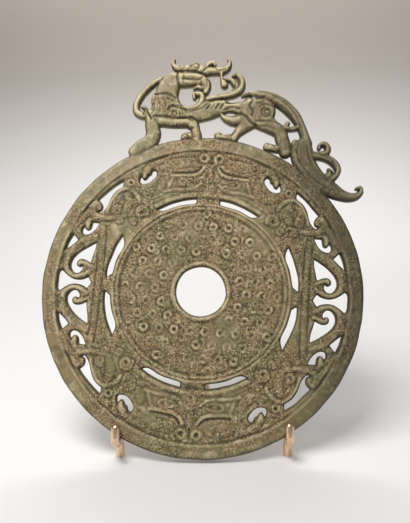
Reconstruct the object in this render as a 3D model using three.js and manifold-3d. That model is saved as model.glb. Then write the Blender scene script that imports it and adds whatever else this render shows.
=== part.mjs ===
// A pierced jade bi disc with a dragon carved on its upper edge, leaning on a small brass stand.
// Millimetres, +Z up, front towards -Y. The jade is drawn flat, in the plane of the disc, with
// x to the right, y up the disc and z towards the viewer, and is then rolled and leaned back.
import * as THREE from "three";
import { mergeVertices } from "three/addons/utils/BufferGeometryUtils.js";
import Module from "manifold-3d";

const wasm = await Module();
wasm.setup();

// ---- Driving dimensions ----

const DISC_RADIUS = 90;
const DISC_THICKNESS = 5; // over the rim and the raised rings
const GROUND_HALF = 1.95; // from the middle plane to the cut-back ground
const HOLE_RADIUS = 13.9;
const COLLAR_WIDTH = 2.4; // raised lip round the hole
const FIELD_RADIUS = 50.2; // outer edge of the inner disc
const RING_WIDTH = 3.6; // raised double ring round the inner disc
const RIM_INNER = 82.4; // inner edge of the plain outer rim
const EDGE_BEVEL = 0.9;
const GRAIN_PITCH = 8.5; // spacing of the raised grains
const GRAIN_RADIUS = 1.9;
const RIDGE_HEIGHT = 0.55; // carved lines over the ground
const DRAGON_BACK = 2.1; // from the middle plane to the dragon's flat back
const DRAGON_CHAMFER = 0.8;

const LEAN = THREE.MathUtils.degToRad(18); // the disc leans back by this much
const ROLL = THREE.MathUtils.degToRad(5.6); // and is turned clockwise in its plane
const FLOOR_GAP = 1; // under the lowest point of the disc
const FIT_GAP = 0.3; // between the jade and the rods that hold it

const ROD_RADIUS = 2.4;
const ROD_SIDES = 10;
const BEND_RADIUS = 3.2; // of a rod's own middle line
const BEND_STEP = 25; // degrees of a bend to each facet
const UPRIGHT_RADIUS = 2;
const LEG_DROP = 8; // from the upright's top to where the rear leg meets it
const PRONG_SPREAD = 46; // from the middle of the stand to each prong
const PRONG_RISE = 10.3; // from the axis of the rod under the rim to the prong's tip
const REST_TOP = -21; // top of the upright behind the disc, along the disc
const REAR_REACH = 62; // how far back the rear foot stands

const RIM_SIDES = 66;
const OUTLINE_TOLERANCE = 0.25; // how far a facet may stray from its curve
const LINE_TOLERANCE = 0.5; // the same, on the fine carved lines

// ---- Materials ----

const jade = new THREE.MeshStandardMaterial({ name: "jade", color: 0x7a7352, roughness: 0.55, metalness: 0 });
const brass = new THREE.MeshStandardMaterial({ name: "brass", color: 0xc49a6c, roughness: 0.28, metalness: 1 });

// ---- Solids ----

// A closed three.js geometry as a solid that can be joined and cut.
function solid(geometry) {
  const plain = geometry.clone();
  plain.deleteAttribute("normal");
  plain.deleteAttribute("uv");
  const merged = mergeVertices(plain, 1e-4);
  const mesh = new wasm.Mesh({
    numProp: 3,
    vertProperties: new Float32Array(merged.attributes.position.array),
    triVerts: new Uint32Array(merged.index.array),
  });
  return new wasm.Manifold(mesh);
}

// A named mesh made from a solid.
function meshOf(name, body, material) {
  const cut = body.getMesh();
  const geometry = new THREE.BufferGeometry();
  geometry.setAttribute("position", new THREE.BufferAttribute(cut.vertProperties, 3));
  geometry.setIndex(new THREE.BufferAttribute(cut.triVerts, 1));
  geometry.computeVertexNormals();
  const mesh = new THREE.Mesh(geometry, material);
  mesh.name = name;
  return mesh;
}

const join = (bodies) => bodies.reduce((sum, body) => sum.add(body));

// The few points that keep a fine polyline's form within a tolerance.
function thinned(points, tolerance) {
  const first = points[0];
  const last = points[points.length - 1];
  const chord = new THREE.Line3(flat(first), flat(last));
  const nearest = new THREE.Vector3();
  let worst = 0;
  let split = 0;
  for (let i = 1; i < points.length - 1; i++) {
    const spot = flat(points[i]);
    chord.closestPointToPoint(spot, true, nearest);
    const miss = nearest.distanceTo(spot);
    if (miss > worst) {
      worst = miss;
      split = i;
    }
  }
  if (worst <= tolerance) return [first, last];
  const head = thinned(points.slice(0, split + 1), tolerance);
  const tail = thinned(points.slice(split), tolerance);
  return [...head.slice(0, -1), ...tail];
}

const flat = (p) => new THREE.Vector3(p.x, p.y, p.z ?? 0);
const polar = (radius, degrees) => {
  const angle = THREE.MathUtils.degToRad(degrees);
  return [radius * Math.cos(angle), radius * Math.sin(angle)];
};

// A closed outline made of smooth runs that meet at corners. Each run starts where the last one
// ended, and the last run closes the outline.
function outline(start, ...runs) {
  let corner = new THREE.Vector2(...start);
  const points = [corner];
  for (const run of runs) {
    const knots = [corner, ...run.map((p) => new THREE.Vector2(...p))];
    const curve = knots.length > 2 ? new THREE.SplineCurve(knots) : new THREE.LineCurve(...knots);
    const fine = curve.getPoints(12 * (knots.length - 1));
    points.push(...thinned(fine, OUTLINE_TOLERANCE).slice(1));
    corner = knots[knots.length - 1];
  }
  return points.slice(0, -1);
}

// A carved stroke: knots of x, y and half width, with round ends, as an outline.
function stroke(knots, tolerance = OUTLINE_TOLERANCE) {
  const curve = new THREE.CatmullRomCurve3(knots.map((k) => new THREE.Vector3(...k)), false, "centripetal");
  const fine = curve.getPoints(16 * (knots.length - 1));
  const spine = thinned(fine, tolerance);
  const end = spine.length - 1;
  const headings = spine.map((p, i) => {
    const before = spine[Math.max(i - 1, 0)];
    const after = spine[Math.min(i + 1, end)];
    return Math.atan2(after.y - before.y, after.x - before.x);
  });
  const beside = (i, turn) => {
    const { x, y, z: half } = spine[i];
    const angle = headings[i] + turn;
    return new THREE.Vector2(x + half * Math.cos(angle), y + half * Math.sin(angle));
  };
  // The round end, with as many facets as its radius needs.
  const cap = (i, middle) => {
    const facet = 2 * Math.acos(1 - Math.min(2 * tolerance / spine[i].z, 1));
    const count = Math.max(Math.round(Math.PI / facet), 2);
    return Array.from({ length: count - 1 }, (_, k) => beside(i, middle + Math.PI * ((k + 1) / count - 0.5)));
  };
  const right = spine.map((_, i) => beside(i, -Math.PI / 2));
  const left = spine.map((_, i) => beside(i, Math.PI / 2)).reverse();
  const ring = [...right, ...cap(end, 0), ...left, ...cap(0, Math.PI)];
  // Inside a tight bend the two edges cross, and the points past the crossing are dropped.
  return ring.filter((p) => fine.every((s) => Math.hypot(p.x - s.x, p.y - s.y) > 0.96 * s.z));
}

// An upright prism from an outline, with chamfered edges if a chamfer is given.
function prism(points, low, high, chamfer = 0) {
  const geometry = new THREE.ExtrudeGeometry(new THREE.Shape(points), {
    depth: high - low - 2 * chamfer,
    bevelEnabled: chamfer > 0,
    bevelThickness: chamfer,
    bevelSize: chamfer,
    bevelOffset: -chamfer,
    bevelSegments: 1,
    curveSegments: 1,
  });
  geometry.translate(0, 0, low + chamfer);
  return solid(geometry);
}

// A ring turned about the disc's axis from a closed profile of radius and height.
function turned(profile, sides) {
  const loop = [...profile, profile[0]].reverse().map((p) => new THREE.Vector2(...p));
  const geometry = new THREE.LatheGeometry(loop, sides);
  geometry.rotateX(Math.PI / 2);
  return solid(geometry);
}

// The same outline in each quarter of the disc.
function quarters(points) {
  const mirrored = (sx, sy) => {
    const copy = points.map((p) => new THREE.Vector2(sx * p.x, sy * p.y));
    return sx * sy < 0 ? copy.reverse() : copy;
  };
  return [mirrored(1, 1), mirrored(-1, 1), mirrored(-1, -1), mirrored(1, -1)];
}

// ---- The disc ----

// The profile runs over the front from the hole to the rim, and home over the plainer back.
function discBlank() {
  const top = DISC_THICKNESS / 2;
  const collar = HOLE_RADIUS + COLLAR_WIDTH;
  const ring = FIELD_RADIUS - RING_WIDTH;
  const front = [
    [HOLE_RADIUS, top - 0.5],
    [HOLE_RADIUS + 0.5, top],
    [collar, top],
    [collar + 0.5, GROUND_HALF],
    [ring - 0.5, GROUND_HALF],
    [ring, top],
    [FIELD_RADIUS - 0.2, top],
    [FIELD_RADIUS + 0.3, GROUND_HALF],
    [RIM_INNER - 0.6, GROUND_HALF],
    [RIM_INNER, top],
    [DISC_RADIUS - EDGE_BEVEL, top],
    [DISC_RADIUS, top - EDGE_BEVEL],
  ];
  const back = [
    [DISC_RADIUS, EDGE_BEVEL - top],
    [DISC_RADIUS - EDGE_BEVEL, -top],
    [RIM_INNER, -top],
    [RIM_INNER - 0.6, -GROUND_HALF],
    [HOLE_RADIUS + 0.5, -GROUND_HALF],
    [HOLE_RADIUS, 0.5 - GROUND_HALF],
  ];
  return turned([...front, ...back], RIM_SIDES);
}

// The openings of one quarter, between the inner disc and the rim.
const sideSlot = outline(
  polar(54.3, 4.2),
  [polar(54.9, 12), polar(55, 22), [47.3, 28.5]],
  [polar(51.3, 26.5), polar(51.2, 17), polar(51.3, 7)],
  [polar(54.3, 4.2)],
);
const topSlot = outline(
  [7, 52.9],
  [polar(53.6, 75), polar(53.5, 66), [29, 45]],
  [polar(51.2, 60), polar(50.9, 69), [7, 50.4]],
  [[7, 52.9]],
);
const rimCrescent = outline(
  [50.3, 60.6],
  [polar(79.2, 46), polar(79.4, 41), [63.5, 48.3]],
  [[61.4, 46.3], [60.7, 44.1], [61.4, 42], [63, 41.3]],
  [[61.9, 40.5], [59.5, 42.5], [58, 45.5], [56.5, 50], [54, 54], [50, 57]],
  [[50.3, 60.6]],
);
const upperHook = outline(
  [34.6, 65.5],
  [[34, 67.7], [32.5, 68.3], [31.2, 66], [32.7, 63], [35, 60.6], [38.3, 59.7], [40.4, 60.4], [40.9, 62.2], [40.2, 64.7]],
  [[39.3, 63], [38.3, 62.2], [37, 63], [36, 64.8], [34.6, 65.5]],
);
const sideHook = outline(
  [65.6, 34.7],
  [[61.3, 34.8]],
  [[62.7, 32], [65, 29], [68, 27.4], [70.6, 28], [71.1, 30.4], [69.8, 32.3]],
  [[69.4, 30.9], [68.2, 29.9], [66.7, 30.5], [66, 32], [65.6, 34.7]],
);
const rimTriangle = outline(
  [72.5, 23.8],
  [[75.8, 27.3]],
  [[78, 22.7], [79.3, 17.9]],
  [[76.3, 20.2], [72.5, 23.8]],
);
const bigComma = outline(
  [61.8, 23.2],
  [[66, 20.7], [70, 18], [73.2, 14.8], [75.1, 11.3], [75.2, 8.6], [74, 6.2], [72, 4.9], [69.7, 5.3], [68.2, 7.4], [68.5, 9.3]],
  [[70.1, 8.3], [71.7, 9.4], [71.6, 11.6], [69.7, 13], [67, 12.7], [64, 11.2]],
  [[63.2, 15], [62.2, 19], [61.8, 23.2]],
);
// Two of these meet back to back on the axis, so this one is drawn whole for the right half.
const bowTie = outline(
  [62.3, 0],
  [[64.5, 3.4]],
  [[67, 1.9], [70, 1.2], [73, 1.4], [76, 2.9], [80, 6]],
  [[81.3, 4.5], [81.6, 0], [81.3, -4.5], [80, -6]],
  [[76, -2.9], [73, -1.4], [70, -1.2], [67, -1.9], [64.5, -3.4]],
  [[62.3, 0]],
);

function openings() {
  const shapes = [sideSlot, topSlot, rimCrescent, upperHook, sideHook, rimTriangle, bigComma].flatMap(quarters);
  shapes.push(...quarters(bowTie).slice(0, 2));
  return join(shapes.map((points) => prism(points, -DISC_THICKNESS, DISC_THICKNESS)));
}

// Low faceted grains in staggered rows, kept clear of the collar and the ring.
function grains() {
  const rowStep = GRAIN_PITCH * Math.sin(Math.PI / 3);
  const reach = FIELD_RADIUS - RING_WIDTH - GRAIN_RADIUS - 0.9;
  const inside = HOLE_RADIUS + COLLAR_WIDTH + GRAIN_RADIUS + 0.9;
  const rows = Math.floor(reach / rowStep);
  const height = DISC_THICKNESS / 2 - GROUND_HALF + 0.15;
  const made = [];
  for (let row = -rows; row <= rows; row++) {
    const shift = row % 2 ? 0.5 : 0;
    const columns = Math.ceil(reach / GRAIN_PITCH);
    for (let column = -columns; column < columns; column++) {
      const x = (column + shift) * GRAIN_PITCH;
      const y = row * rowStep;
      const radius = Math.hypot(x, y);
      if (radius > reach || radius < inside) continue;
      const cone = new THREE.ConeGeometry(GRAIN_RADIUS, height, 4);
      cone.rotateX(Math.PI / 2);
      cone.translate(x, y, GROUND_HALF + height / 2 - 0.05);
      made.push(solid(cone));
    }
  }
  return made;
}

// A spiral as stroke knots: it winds inwards from the outer radius by the given turns.
function spiral(x, y, outer, inner, startDegrees, turns, half) {
  const steps = Math.ceil(Math.abs(turns) * 6);
  return Array.from({ length: steps + 1 }, (_, i) => {
    const part = i / steps;
    const [dx, dy] = polar(outer + (inner - outer) * part, startDegrees + 360 * turns * part);
    return [x + dx, y + dy, half];
  });
}

// Carved lines of one quarter: the half mask at the top, the corner scrolls and the side strap.
const carvedLines = [
  [[23, 65.2, 0.6], [16, 66.4, 0.8], [10, 67.6, 0.8], [6.4, 70, 0.8], [4.6, 73.2, 0.7]], // brow
  [[24.5, 55.4, 0.6], [23.4, 60, 0.7], [21.4, 63.6, 0.7]], // cheek
  [[30, 53, 0.6], [25, 55.3, 0.7], [19, 57.4, 0.7], [10, 58.2, 0.7], [4, 60.2, 0.6]], // lip
  [[8.8, 59.8, 0.7], [13, 59.4, 0.7], [17.4, 60.3, 0.7], [17.6, 63.3, 0.7], [13, 64.4, 0.7], [9.2, 63.6, 0.7]], // eye
  spiral(4.2, 77, 2.4, 1.9, -60, 0.8, 0.6), // boss over the nose
  spiral(37.6, 42.6, 3.8, 1.2, 200, -1.4, 0.65), // large corner scroll
  [[38.6, 48, 0.7], [41, 51.5, 0.8], [44, 54.3, 0.8], [47.4, 55.6, 0.8], [50.4, 54.6, 0.7]], // arch
  spiral(52, 42.6, 2.6, 1, 120, -1.2, 0.6), // small corner scroll
  [[44.6, 54.2, 0.9], [44.2, 49, 1], [46.4, 44.6, 0.9], [51, 40, 0.9], [56.4, 38.2, 0.9], [63, 37.6, 0.8], [67.4, 39.4, 0.7]],
  [[58.6, 29, 0.6], [57.4, 20, 0.8], [57.2, 10, 0.8], [57.4, 3, 0.6]], // strap
];

function carving() {
  const low = GROUND_HALF - 0.4;
  const high = GROUND_HALF + RIDGE_HEIGHT;
  return carvedLines.flatMap((knots) => quarters(stroke(knots, LINE_TOLERANCE))).map((points) => prism(points, low, high));
}

// ---- The dragon ----

// Each limb, lock and curl: its half thickness, then knots of x, y and half width.
const dragon = [
  // neck, chest and body
  [2.6, [[-20, 125.3, 4.5], [-26.5, 124.3, 5.2], [-29.6, 119, 6.7], [-30.2, 113, 7.2], [-29.4, 105.4, 9.4]]],
  [2.5, [[-29, 104.6, 9.2], [-20, 104, 5], [-12, 103.8, 4.6], [-4, 107.6, 6], [1.5, 109.7, 5.3], [7.5, 109.7, 3], [14, 109.6, 4], [22, 108.4, 7]]],
  [2.7, [[-32, 98.6, 3.4], [-24, 98, 2.9], [-16, 98.4, 2.9], [-12.2, 96.5, 2.7]]],
  [2.8, [[22, 108.6, 8.6], [26.4, 108.4, 8.6]]],
  // near foreleg and its foot on the rim
  [2.6, [[-37.4, 101.5, 4.6], [-36.7, 95, 4.3], [-35.7, 90, 4.5], [-37.2, 85.6, 4.5], [-41.6, 82, 4.6], [-45.4, 78.6, 4]]],
  // middle leg and paw
  [2.4, [[-12, 98, 2.8], [-10.9, 94, 2.7], [-10, 90.5, 3.1], [-10, 87.5, 3.1]]],
  [2.2, [[-10.6, 89.6, 2.4], [-14.6, 90.4, 2.6], [-17.2, 89.4, 2.3]]],
  // leg and paw in front of the haunch
  [2.6, [[22.5, 104, 5.5], [17, 98.2, 3.7], [13.2, 93.6, 2.6], [11.8, 90.6, 2.4]]],
  [2.2, [[13, 91.4, 1.7], [8.3, 91.3, 2.1], [5.4, 90.7, 1.5], [2.5, 91.6, 2.5]]],
  [2.3, [[3, 104.5, 0.8], [6, 102.6, 2], [10, 101.6, 3], [15, 102.4, 3.8], [20, 104.5, 4.5]]],
  // hind leg and paw
  [2.6, [[27, 103.6, 6.4], [33, 99.6, 4.6], [38, 96.6, 4.1], [39.6, 92.6, 4], [41.2, 88, 4], [42, 84.6, 3.6]]],
  [2.2, [[37, 86, 2.2], [31.4, 87, 2.4]]],
  // lock of hair behind the neck, curled at its end
  [2.2, [[-33.4, 125.4, 0.9], [-38.2, 122, 1.6], [-42.7, 117.4, 1.9], [-46.1, 112, 2], [-47.6, 107, 2.1], [-46.6, 102.9, 2.3], [-43.3, 101.2, 2.3]]],
  [2.1, [[-42.4, 100.6, 1.8], [-41.6, 103.4, 1.3], [-42.2, 106.2, 1.1], [-44, 106.4, 0.9]]],
  [2.1, [[-36, 116, 1.1], [-37.4, 112.8, 1.5], [-37.4, 109.4, 1.5]]],
  // head, lips and the curled tongue
  [2.6, [[-27, 125.2, 4.4], [-20, 125.2, 4.6], [-13.4, 126, 3.9], [-9.8, 125.6, 3.4]]],
  [2.4, [[-11.4, 125, 3.4], [-8, 124, 3.4], [-6.6, 121, 2.5], [-7, 118.2, 1.7]]],
  [2.2, [[-14.2, 119.9, 0.8], [-12.2, 120.9, 1.2], [-8.6, 120.4, 1.6]]],
  [2.5, [[-27, 109.2, 1.8], [-20, 107, 2], [-14.4, 107.2, 2.1], [-10.3, 109.6, 2.1], [-8.7, 113.6, 2.1], [-9.6, 116.4, 1.7], [-13.2, 116.4, 1.6]]],
  [2.3, [[-13.6, 116.2, 1.4], [-13.4, 114.2, 1.3]]],
  // crest over the head, with a horn at each end and curls between
  [2.3, [[-27.7, 137.6, 0.9], [-27.8, 134.4, 1.4], [-25.3, 132.2, 2], [-20, 132.3, 2.4], [-14.4, 132.8, 3], [-8, 132, 3.2], [-2, 132.2, 2.6], [2.7, 132.9, 2.4], [5.4, 135.6, 1.7], [5.7, 138.4, 1.2], [4.7, 140, 0.8]]],
  [2.5, [[-14.6, 133.5, 3.2], [-13.8, 133.5, 3.2]]],
  [2.4, [[-7.4, 133.6, 1.5], [-6.2, 136.2, 1.6], [-3.9, 136.9, 1.4], [-2.6, 135.2, 0.8]]],
  [2.2, [[1.4, 130.8, 1.2], [1.6, 128, 0.9], [2.5, 125.8, 1.5], [3.7, 123.6, 2.4]]],
  // mane, a double curl behind the head
  [2.4, [[-5.4, 113.8, 1.8], [0, 115.4, 2], [5.4, 117, 2.3], [10, 118.8, 2.6], [13.2, 121.8, 2.6], [14, 125.2, 2.2], [12.8, 128.6, 1.8], [10.2, 130.4, 1.4], [8.4, 129.4, 1]]],
  [2.2, [[11.8, 121.4, 1.8], [10, 124.6, 2.2], [7.2, 126.8, 1.4], [4.4, 126.8, 1.1], [3, 125, 1.4]]],
  // back, tail and its branches
  [2.6, [[14.8, 117.4, 0.9], [20, 118.9, 1.6], [26, 118.6, 2.8], [32, 117.2, 3.3], [38, 114.3, 3.5], [43, 110.4, 3.4], [47, 106, 3.1], [50.2, 100.6, 2.6], [52.2, 96, 2.6], [53.8, 90.6, 3.4]]],
  [2.5, [[53, 90.5, 3.8], [51.6, 86.4, 6.2], [52.2, 82, 6.6], [54.6, 77.4, 6], [58.6, 72, 5.6], [64, 66.8, 5]]],
  [2.2, [[40.5, 98.9, 1.7], [45, 98.8, 1.4], [47.9, 99.9, 1.6], [50, 102, 1.4]]],
  [2.1, [[41.4, 99.6, 1.5], [42.4, 102, 1.4]]],
  [2.1, [[46.4, 89, 2], [47.2, 91.6, 1.1]]],
  [2.2, [[62.4, 84, 2.2], [65.8, 86, 2], [66, 89.3, 1.8], [63.8, 91, 1.6], [61.8, 89.6, 1.5], [61.4, 87.9, 1.1]]],
  [2.3, [[56, 83.6, 3.2], [62, 83.2, 2.2], [67, 82, 2.3], [71, 79.1, 2.2], [72.6, 75.8, 1.9], [71.7, 72.5, 1.7], [69.4, 70.2, 2.2]]],
  [2.2, [[67.4, 71.6, 2.6], [68.5, 74.5, 1.4], [67.2, 75.8, 0.9]]],
  [2.5, [[63, 67.4, 4.8], [69, 64.2, 4.7], [74, 61.7, 3.6], [79.5, 60.3, 2.7], [83.8, 61.1, 2.1], [86, 63.7, 1.6], [85.5, 66.3, 1.1], [83.6, 65.6, 0.9]]],
];

// The front edges are chamfered; the back is one flat face.
function dragonBody() {
  const limbs = dragon.map(([half, knots]) => {
    const thinnest = Math.min(...knots.map((k) => k[2]));
    return prism(stroke(knots), -DISC_THICKNESS, half, Math.min(DRAGON_CHAMFER, 0.6 * thinnest));
  });
  const behind = new THREE.BoxGeometry(4 * DISC_RADIUS, 4 * DISC_RADIUS, DISC_THICKNESS);
  behind.translate(0, 0, -DRAGON_BACK - DISC_THICKNESS / 2);
  return join(limbs).subtract(solid(behind));
}

function jadeDisc() {
  const carved = join([discBlank(), ...grains(), ...carving()]).subtract(openings());
  return carved.add(dragonBody());
}

// ---- The stand ----

// A point given along the leaning disc, as a point over the floor. Across, up the disc, out of it.
const centreHeight = FLOOR_GAP + DISC_RADIUS * Math.cos(LEAN) + (DISC_THICKNESS / 2) * Math.sin(LEAN);
const tilt = new THREE.Matrix4().makeRotationX(Math.PI / 2 - LEAN).setPosition(0, 0, centreHeight);
const leaning = (across, up, out) => new THREE.Vector3(across, up, out).applyMatrix4(tilt);

// A wire bent through its stations, one extrusion step to each.
class Wire extends THREE.Curve {
  constructor(stations) {
    super();
    this.stations = stations;
  }
  getPoint(t) {
    const place = t * (this.stations.length - 1);
    const index = Math.min(Math.floor(place), this.stations.length - 2);
    return this.stations[index].clone().lerp(this.stations[index + 1], place - index);
  }
  getPointAt(u) {
    return this.getPoint(u);
  }
  getTangentAt(u) {
    return this.getTangent(u);
  }
}

function rod(stations, radius) {
  const section = Array.from({ length: ROD_SIDES }, (_, i) => {
    return new THREE.Vector2(...polar(radius, ((i + 0.5) * 360) / ROD_SIDES));
  });
  const steps = stations.length - 1;
  return solid(new THREE.ExtrudeGeometry(new THREE.Shape(section), { steps, extrudePath: new Wire(stations) }));
}

// Stations round the corner at b, from the line a-b to the line b-c.
function bend(a, b, c, radius) {
  const into = b.clone().sub(a).normalize();
  const away = c.clone().sub(b).normalize();
  const turn = into.angleTo(away);
  const setback = radius * Math.tan(turn / 2);
  const start = b.clone().addScaledVector(into, -setback);
  const end = b.clone().addScaledVector(away, setback);
  const inward = away.clone().sub(into).normalize();
  const centre = b.clone().addScaledVector(inward, radius / Math.cos(turn / 2));
  const steps = Math.ceil(turn / THREE.MathUtils.degToRad(BEND_STEP));
  const normal = new THREE.Vector3().crossVectors(into, away).normalize();
  return Array.from({ length: steps + 1 }, (_, i) => {
    const arm = start.clone().sub(centre).applyAxisAngle(normal, (turn * i) / steps);
    return i === steps ? end : arm.add(centre);
  });
}

function ball(centre, radius) {
  const geometry = new THREE.SphereGeometry(radius, ROD_SIDES, ROD_SIDES / 2);
  geometry.translate(...centre);
  return solid(geometry);
}

// Everything under the floor, to cut the legs' ends flat.
function underFloor() {
  const geometry = new THREE.BoxGeometry(4 * DISC_RADIUS, 4 * DISC_RADIUS, DISC_RADIUS);
  geometry.translate(0, 0, -DISC_RADIUS / 2);
  return solid(geometry);
}

// Where the two rods run under the rim, and how far the stand's rods sit from the middle plane.
const cradleReach = DISC_RADIUS + FIT_GAP + ROD_RADIUS;
const cradleLevel = -Math.sqrt(cradleReach ** 2 - PRONG_SPREAD ** 2);
const rodOut = DISC_THICKNESS / 2 + FIT_GAP + ROD_RADIUS;

// One side: a prong in front of the rim, a run under it and a leg down to the floor behind.
function sideRod(across) {
  const tip = leaning(across, cradleLevel + PRONG_RISE - ROD_RADIUS, rodOut);
  const knee = leaning(across, cradleLevel, rodOut);
  const heel = leaning(across, cradleLevel, -rodOut);
  const sole = heel.clone().setZ(0);
  const stations = [tip, ...bend(tip, knee, heel, BEND_RADIUS), ...bend(knee, heel, sole, BEND_RADIUS), sole];
  return join([rod(stations, ROD_RADIUS), ball(tip, ROD_RADIUS)]);
}

// A bar across the two rods, close behind the disc.
const barLevel = cradleLevel + 2 * ROD_RADIUS + FIT_GAP;

function crossBar() {
  const end = PRONG_SPREAD + ROD_RADIUS / 2;
  return rod([leaning(-end, barLevel, -rodOut), leaning(end, barLevel, -rodOut)], ROD_RADIUS);
}

// The upright stands on the bar, and the disc leans on it.
const uprightOut = -(DISC_THICKNESS / 2 + FIT_GAP + UPRIGHT_RADIUS);
const uprightTop = leaning(0, REST_TOP, uprightOut);

function upright() {
  const low = leaning(0, barLevel + ROD_RADIUS + FIT_GAP, uprightOut);
  return join([rod([low, uprightTop], UPRIGHT_RADIUS), ball(uprightTop, UPRIGHT_RADIUS)]);
}

// The rear leg slants from the upright to the floor, and is cut to fit round the upright.
function rearLeg() {
  const high = leaning(0, REST_TOP - LEG_DROP, uprightOut);
  const low = new THREE.Vector3(0, REAR_REACH, 0);
  const beyond = low.clone().add(low.clone().sub(high).setLength(2 * UPRIGHT_RADIUS));
  const clearance = rod([leaning(0, barLevel, uprightOut), leaning(0, 0, uprightOut)], UPRIGHT_RADIUS + FIT_GAP);
  const pieces = rod([high, beyond], UPRIGHT_RADIUS).subtract(clearance).subtract(underFloor()).decompose();
  return pieces.reduce((largest, piece) => (piece.volume() > largest.volume() ? piece : largest));
}

// ---- The whole object, with its origin on the floor under the middle of its box ----

const group = new THREE.Group();
const assembly = new THREE.Group();

const disc = meshOf("jade_disc", jadeDisc(), jade);
disc.rotation.set(Math.PI / 2 - LEAN, 0, -ROLL);
disc.position.z = centreHeight;
assembly.add(disc);
assembly.add(meshOf("side_rod_left", sideRod(-PRONG_SPREAD), brass));
assembly.add(meshOf("side_rod_right", sideRod(PRONG_SPREAD), brass));
assembly.add(meshOf("cross_bar", crossBar(), brass));
assembly.add(meshOf("upright", upright(), brass));
assembly.add(meshOf("rear_leg", rearLeg(), brass));

const box = new THREE.Box3().setFromObject(assembly, true);
const middle = box.getCenter(new THREE.Vector3());
assembly.position.set(-middle.x, -middle.y, 0);
group.add(assembly);

export default group;
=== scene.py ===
import math

import bmesh
import bpy
import numpy as np
from bpy.props import FloatProperty, FloatVectorProperty, PointerProperty
from mathutils import Matrix, Vector
from mathutils.geometry import delaunay_2d_cdt


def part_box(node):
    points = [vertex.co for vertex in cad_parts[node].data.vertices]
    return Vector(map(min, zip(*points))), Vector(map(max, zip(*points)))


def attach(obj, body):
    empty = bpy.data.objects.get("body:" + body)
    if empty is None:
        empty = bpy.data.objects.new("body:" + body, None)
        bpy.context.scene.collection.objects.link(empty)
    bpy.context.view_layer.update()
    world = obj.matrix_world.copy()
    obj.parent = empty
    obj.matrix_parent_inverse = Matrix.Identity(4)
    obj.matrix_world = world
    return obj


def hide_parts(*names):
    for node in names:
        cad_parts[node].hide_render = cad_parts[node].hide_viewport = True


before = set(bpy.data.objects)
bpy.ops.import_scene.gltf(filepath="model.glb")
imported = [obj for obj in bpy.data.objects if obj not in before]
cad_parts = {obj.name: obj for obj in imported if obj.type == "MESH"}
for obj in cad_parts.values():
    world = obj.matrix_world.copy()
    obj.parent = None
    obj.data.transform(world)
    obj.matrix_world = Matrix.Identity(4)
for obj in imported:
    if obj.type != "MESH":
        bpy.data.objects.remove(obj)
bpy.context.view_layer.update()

bl_info = {
    "name": "Jade Bi Disc",
    "version": (1, 0, 0),
    "blender": (4, 5, 0),
    "location": "View3D > Sidebar > Bi Disc",
    "description": "Carves and colours a pierced jade disc with a dragon, on its brass stand",
    "category": "Object",
}

# ---- Sizes. The jade is drawn flat in millimetres, x to the right, y up the disc, z out of it ----

MM = 0.001
DISC_RADIUS = 90.0
DISC_THICKNESS = 5.0
HOLE_RADIUS = 13.9
FIELD_RADIUS = 50.2  # outer edge of the inner disc and its double ring
RIM_INNER = 82.4  # inner edge of the plain rim
GROUND = 1.8  # front ground over the middle plane
BACK = 1.95  # back ground under it
DRAGON_BACK = 2.1
RELIEF_TOP = DISC_THICKNESS / 2
EDGE_ROUND = 1.5  # width of the worn edge round every opening
EDGE_BEVEL = 0.9  # on the solid disc's outer edge

LEAN = math.radians(18)
ROLL = math.radians(5.6)
FLOOR_GAP = 1.0
FIT_GAP = 0.3
ROD_RADIUS = 2.4
UPRIGHT_RADIUS = 2.0
BEND_RADIUS = 3.2
PRONG_RISE = 10.3
REST_TOP = -21.0
LEG_DROP = 8.0
UPRIGHT_SINK = 0.4  # how far the upright's flat end sits into the bar
REAR_FOOT_HALF = 3.03  # half the depth of the rear leg's slanting end

RASTER = 0.3  # pitch of the height raster
FRONT_PITCH = 0.68  # spacing of the front's mesh points
BACK_PITCH = 1.7
EDGE_PITCH = 0.66
FAR = 1e3  # a distance beyond everything
BELOW = -9.0  # a height under everything
STROKE_MARGIN = 1.5
OUTLINE_MARGIN = 3.0
ROD_SIDES = 28
BEND_STEPS = 7


# ---- Where the disc leans, from the frame ----

def stand_middle():
    """Half way between the two side rods, and how far each stands from there, in millimetres."""
    left = sum(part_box("side_rod_left"), Vector()) / 2
    right = sum(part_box("side_rod_right"), Vector()) / 2
    return (left.x + right.x) / 2 / MM, (right.x - left.x) / 2 / MM


STAND_X, PRONG_SPREAD = stand_middle()
CENTRE = Vector((
    STAND_X,
    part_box("jade_disc")[0].y / MM + (DISC_RADIUS - EDGE_BEVEL) * math.sin(LEAN) + RELIEF_TOP * math.cos(LEAN),
    FLOOR_GAP + DISC_RADIUS * math.cos(LEAN) + RELIEF_TOP * math.sin(LEAN),
))
# From the leaning plane, across, up the disc and out of it, to the floor's frame.
LEANING = Matrix.Translation(CENTRE) @ Matrix.Rotation(math.pi / 2 - LEAN, 4, "X")
# From the flat drawing, which is turned a little clockwise in that plane.
DRAWN = LEANING @ Matrix.Rotation(-ROLL, 4, "Z")
TO_METRES = Matrix.Scale(MM, 4)


# ---- Curves ----

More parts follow.
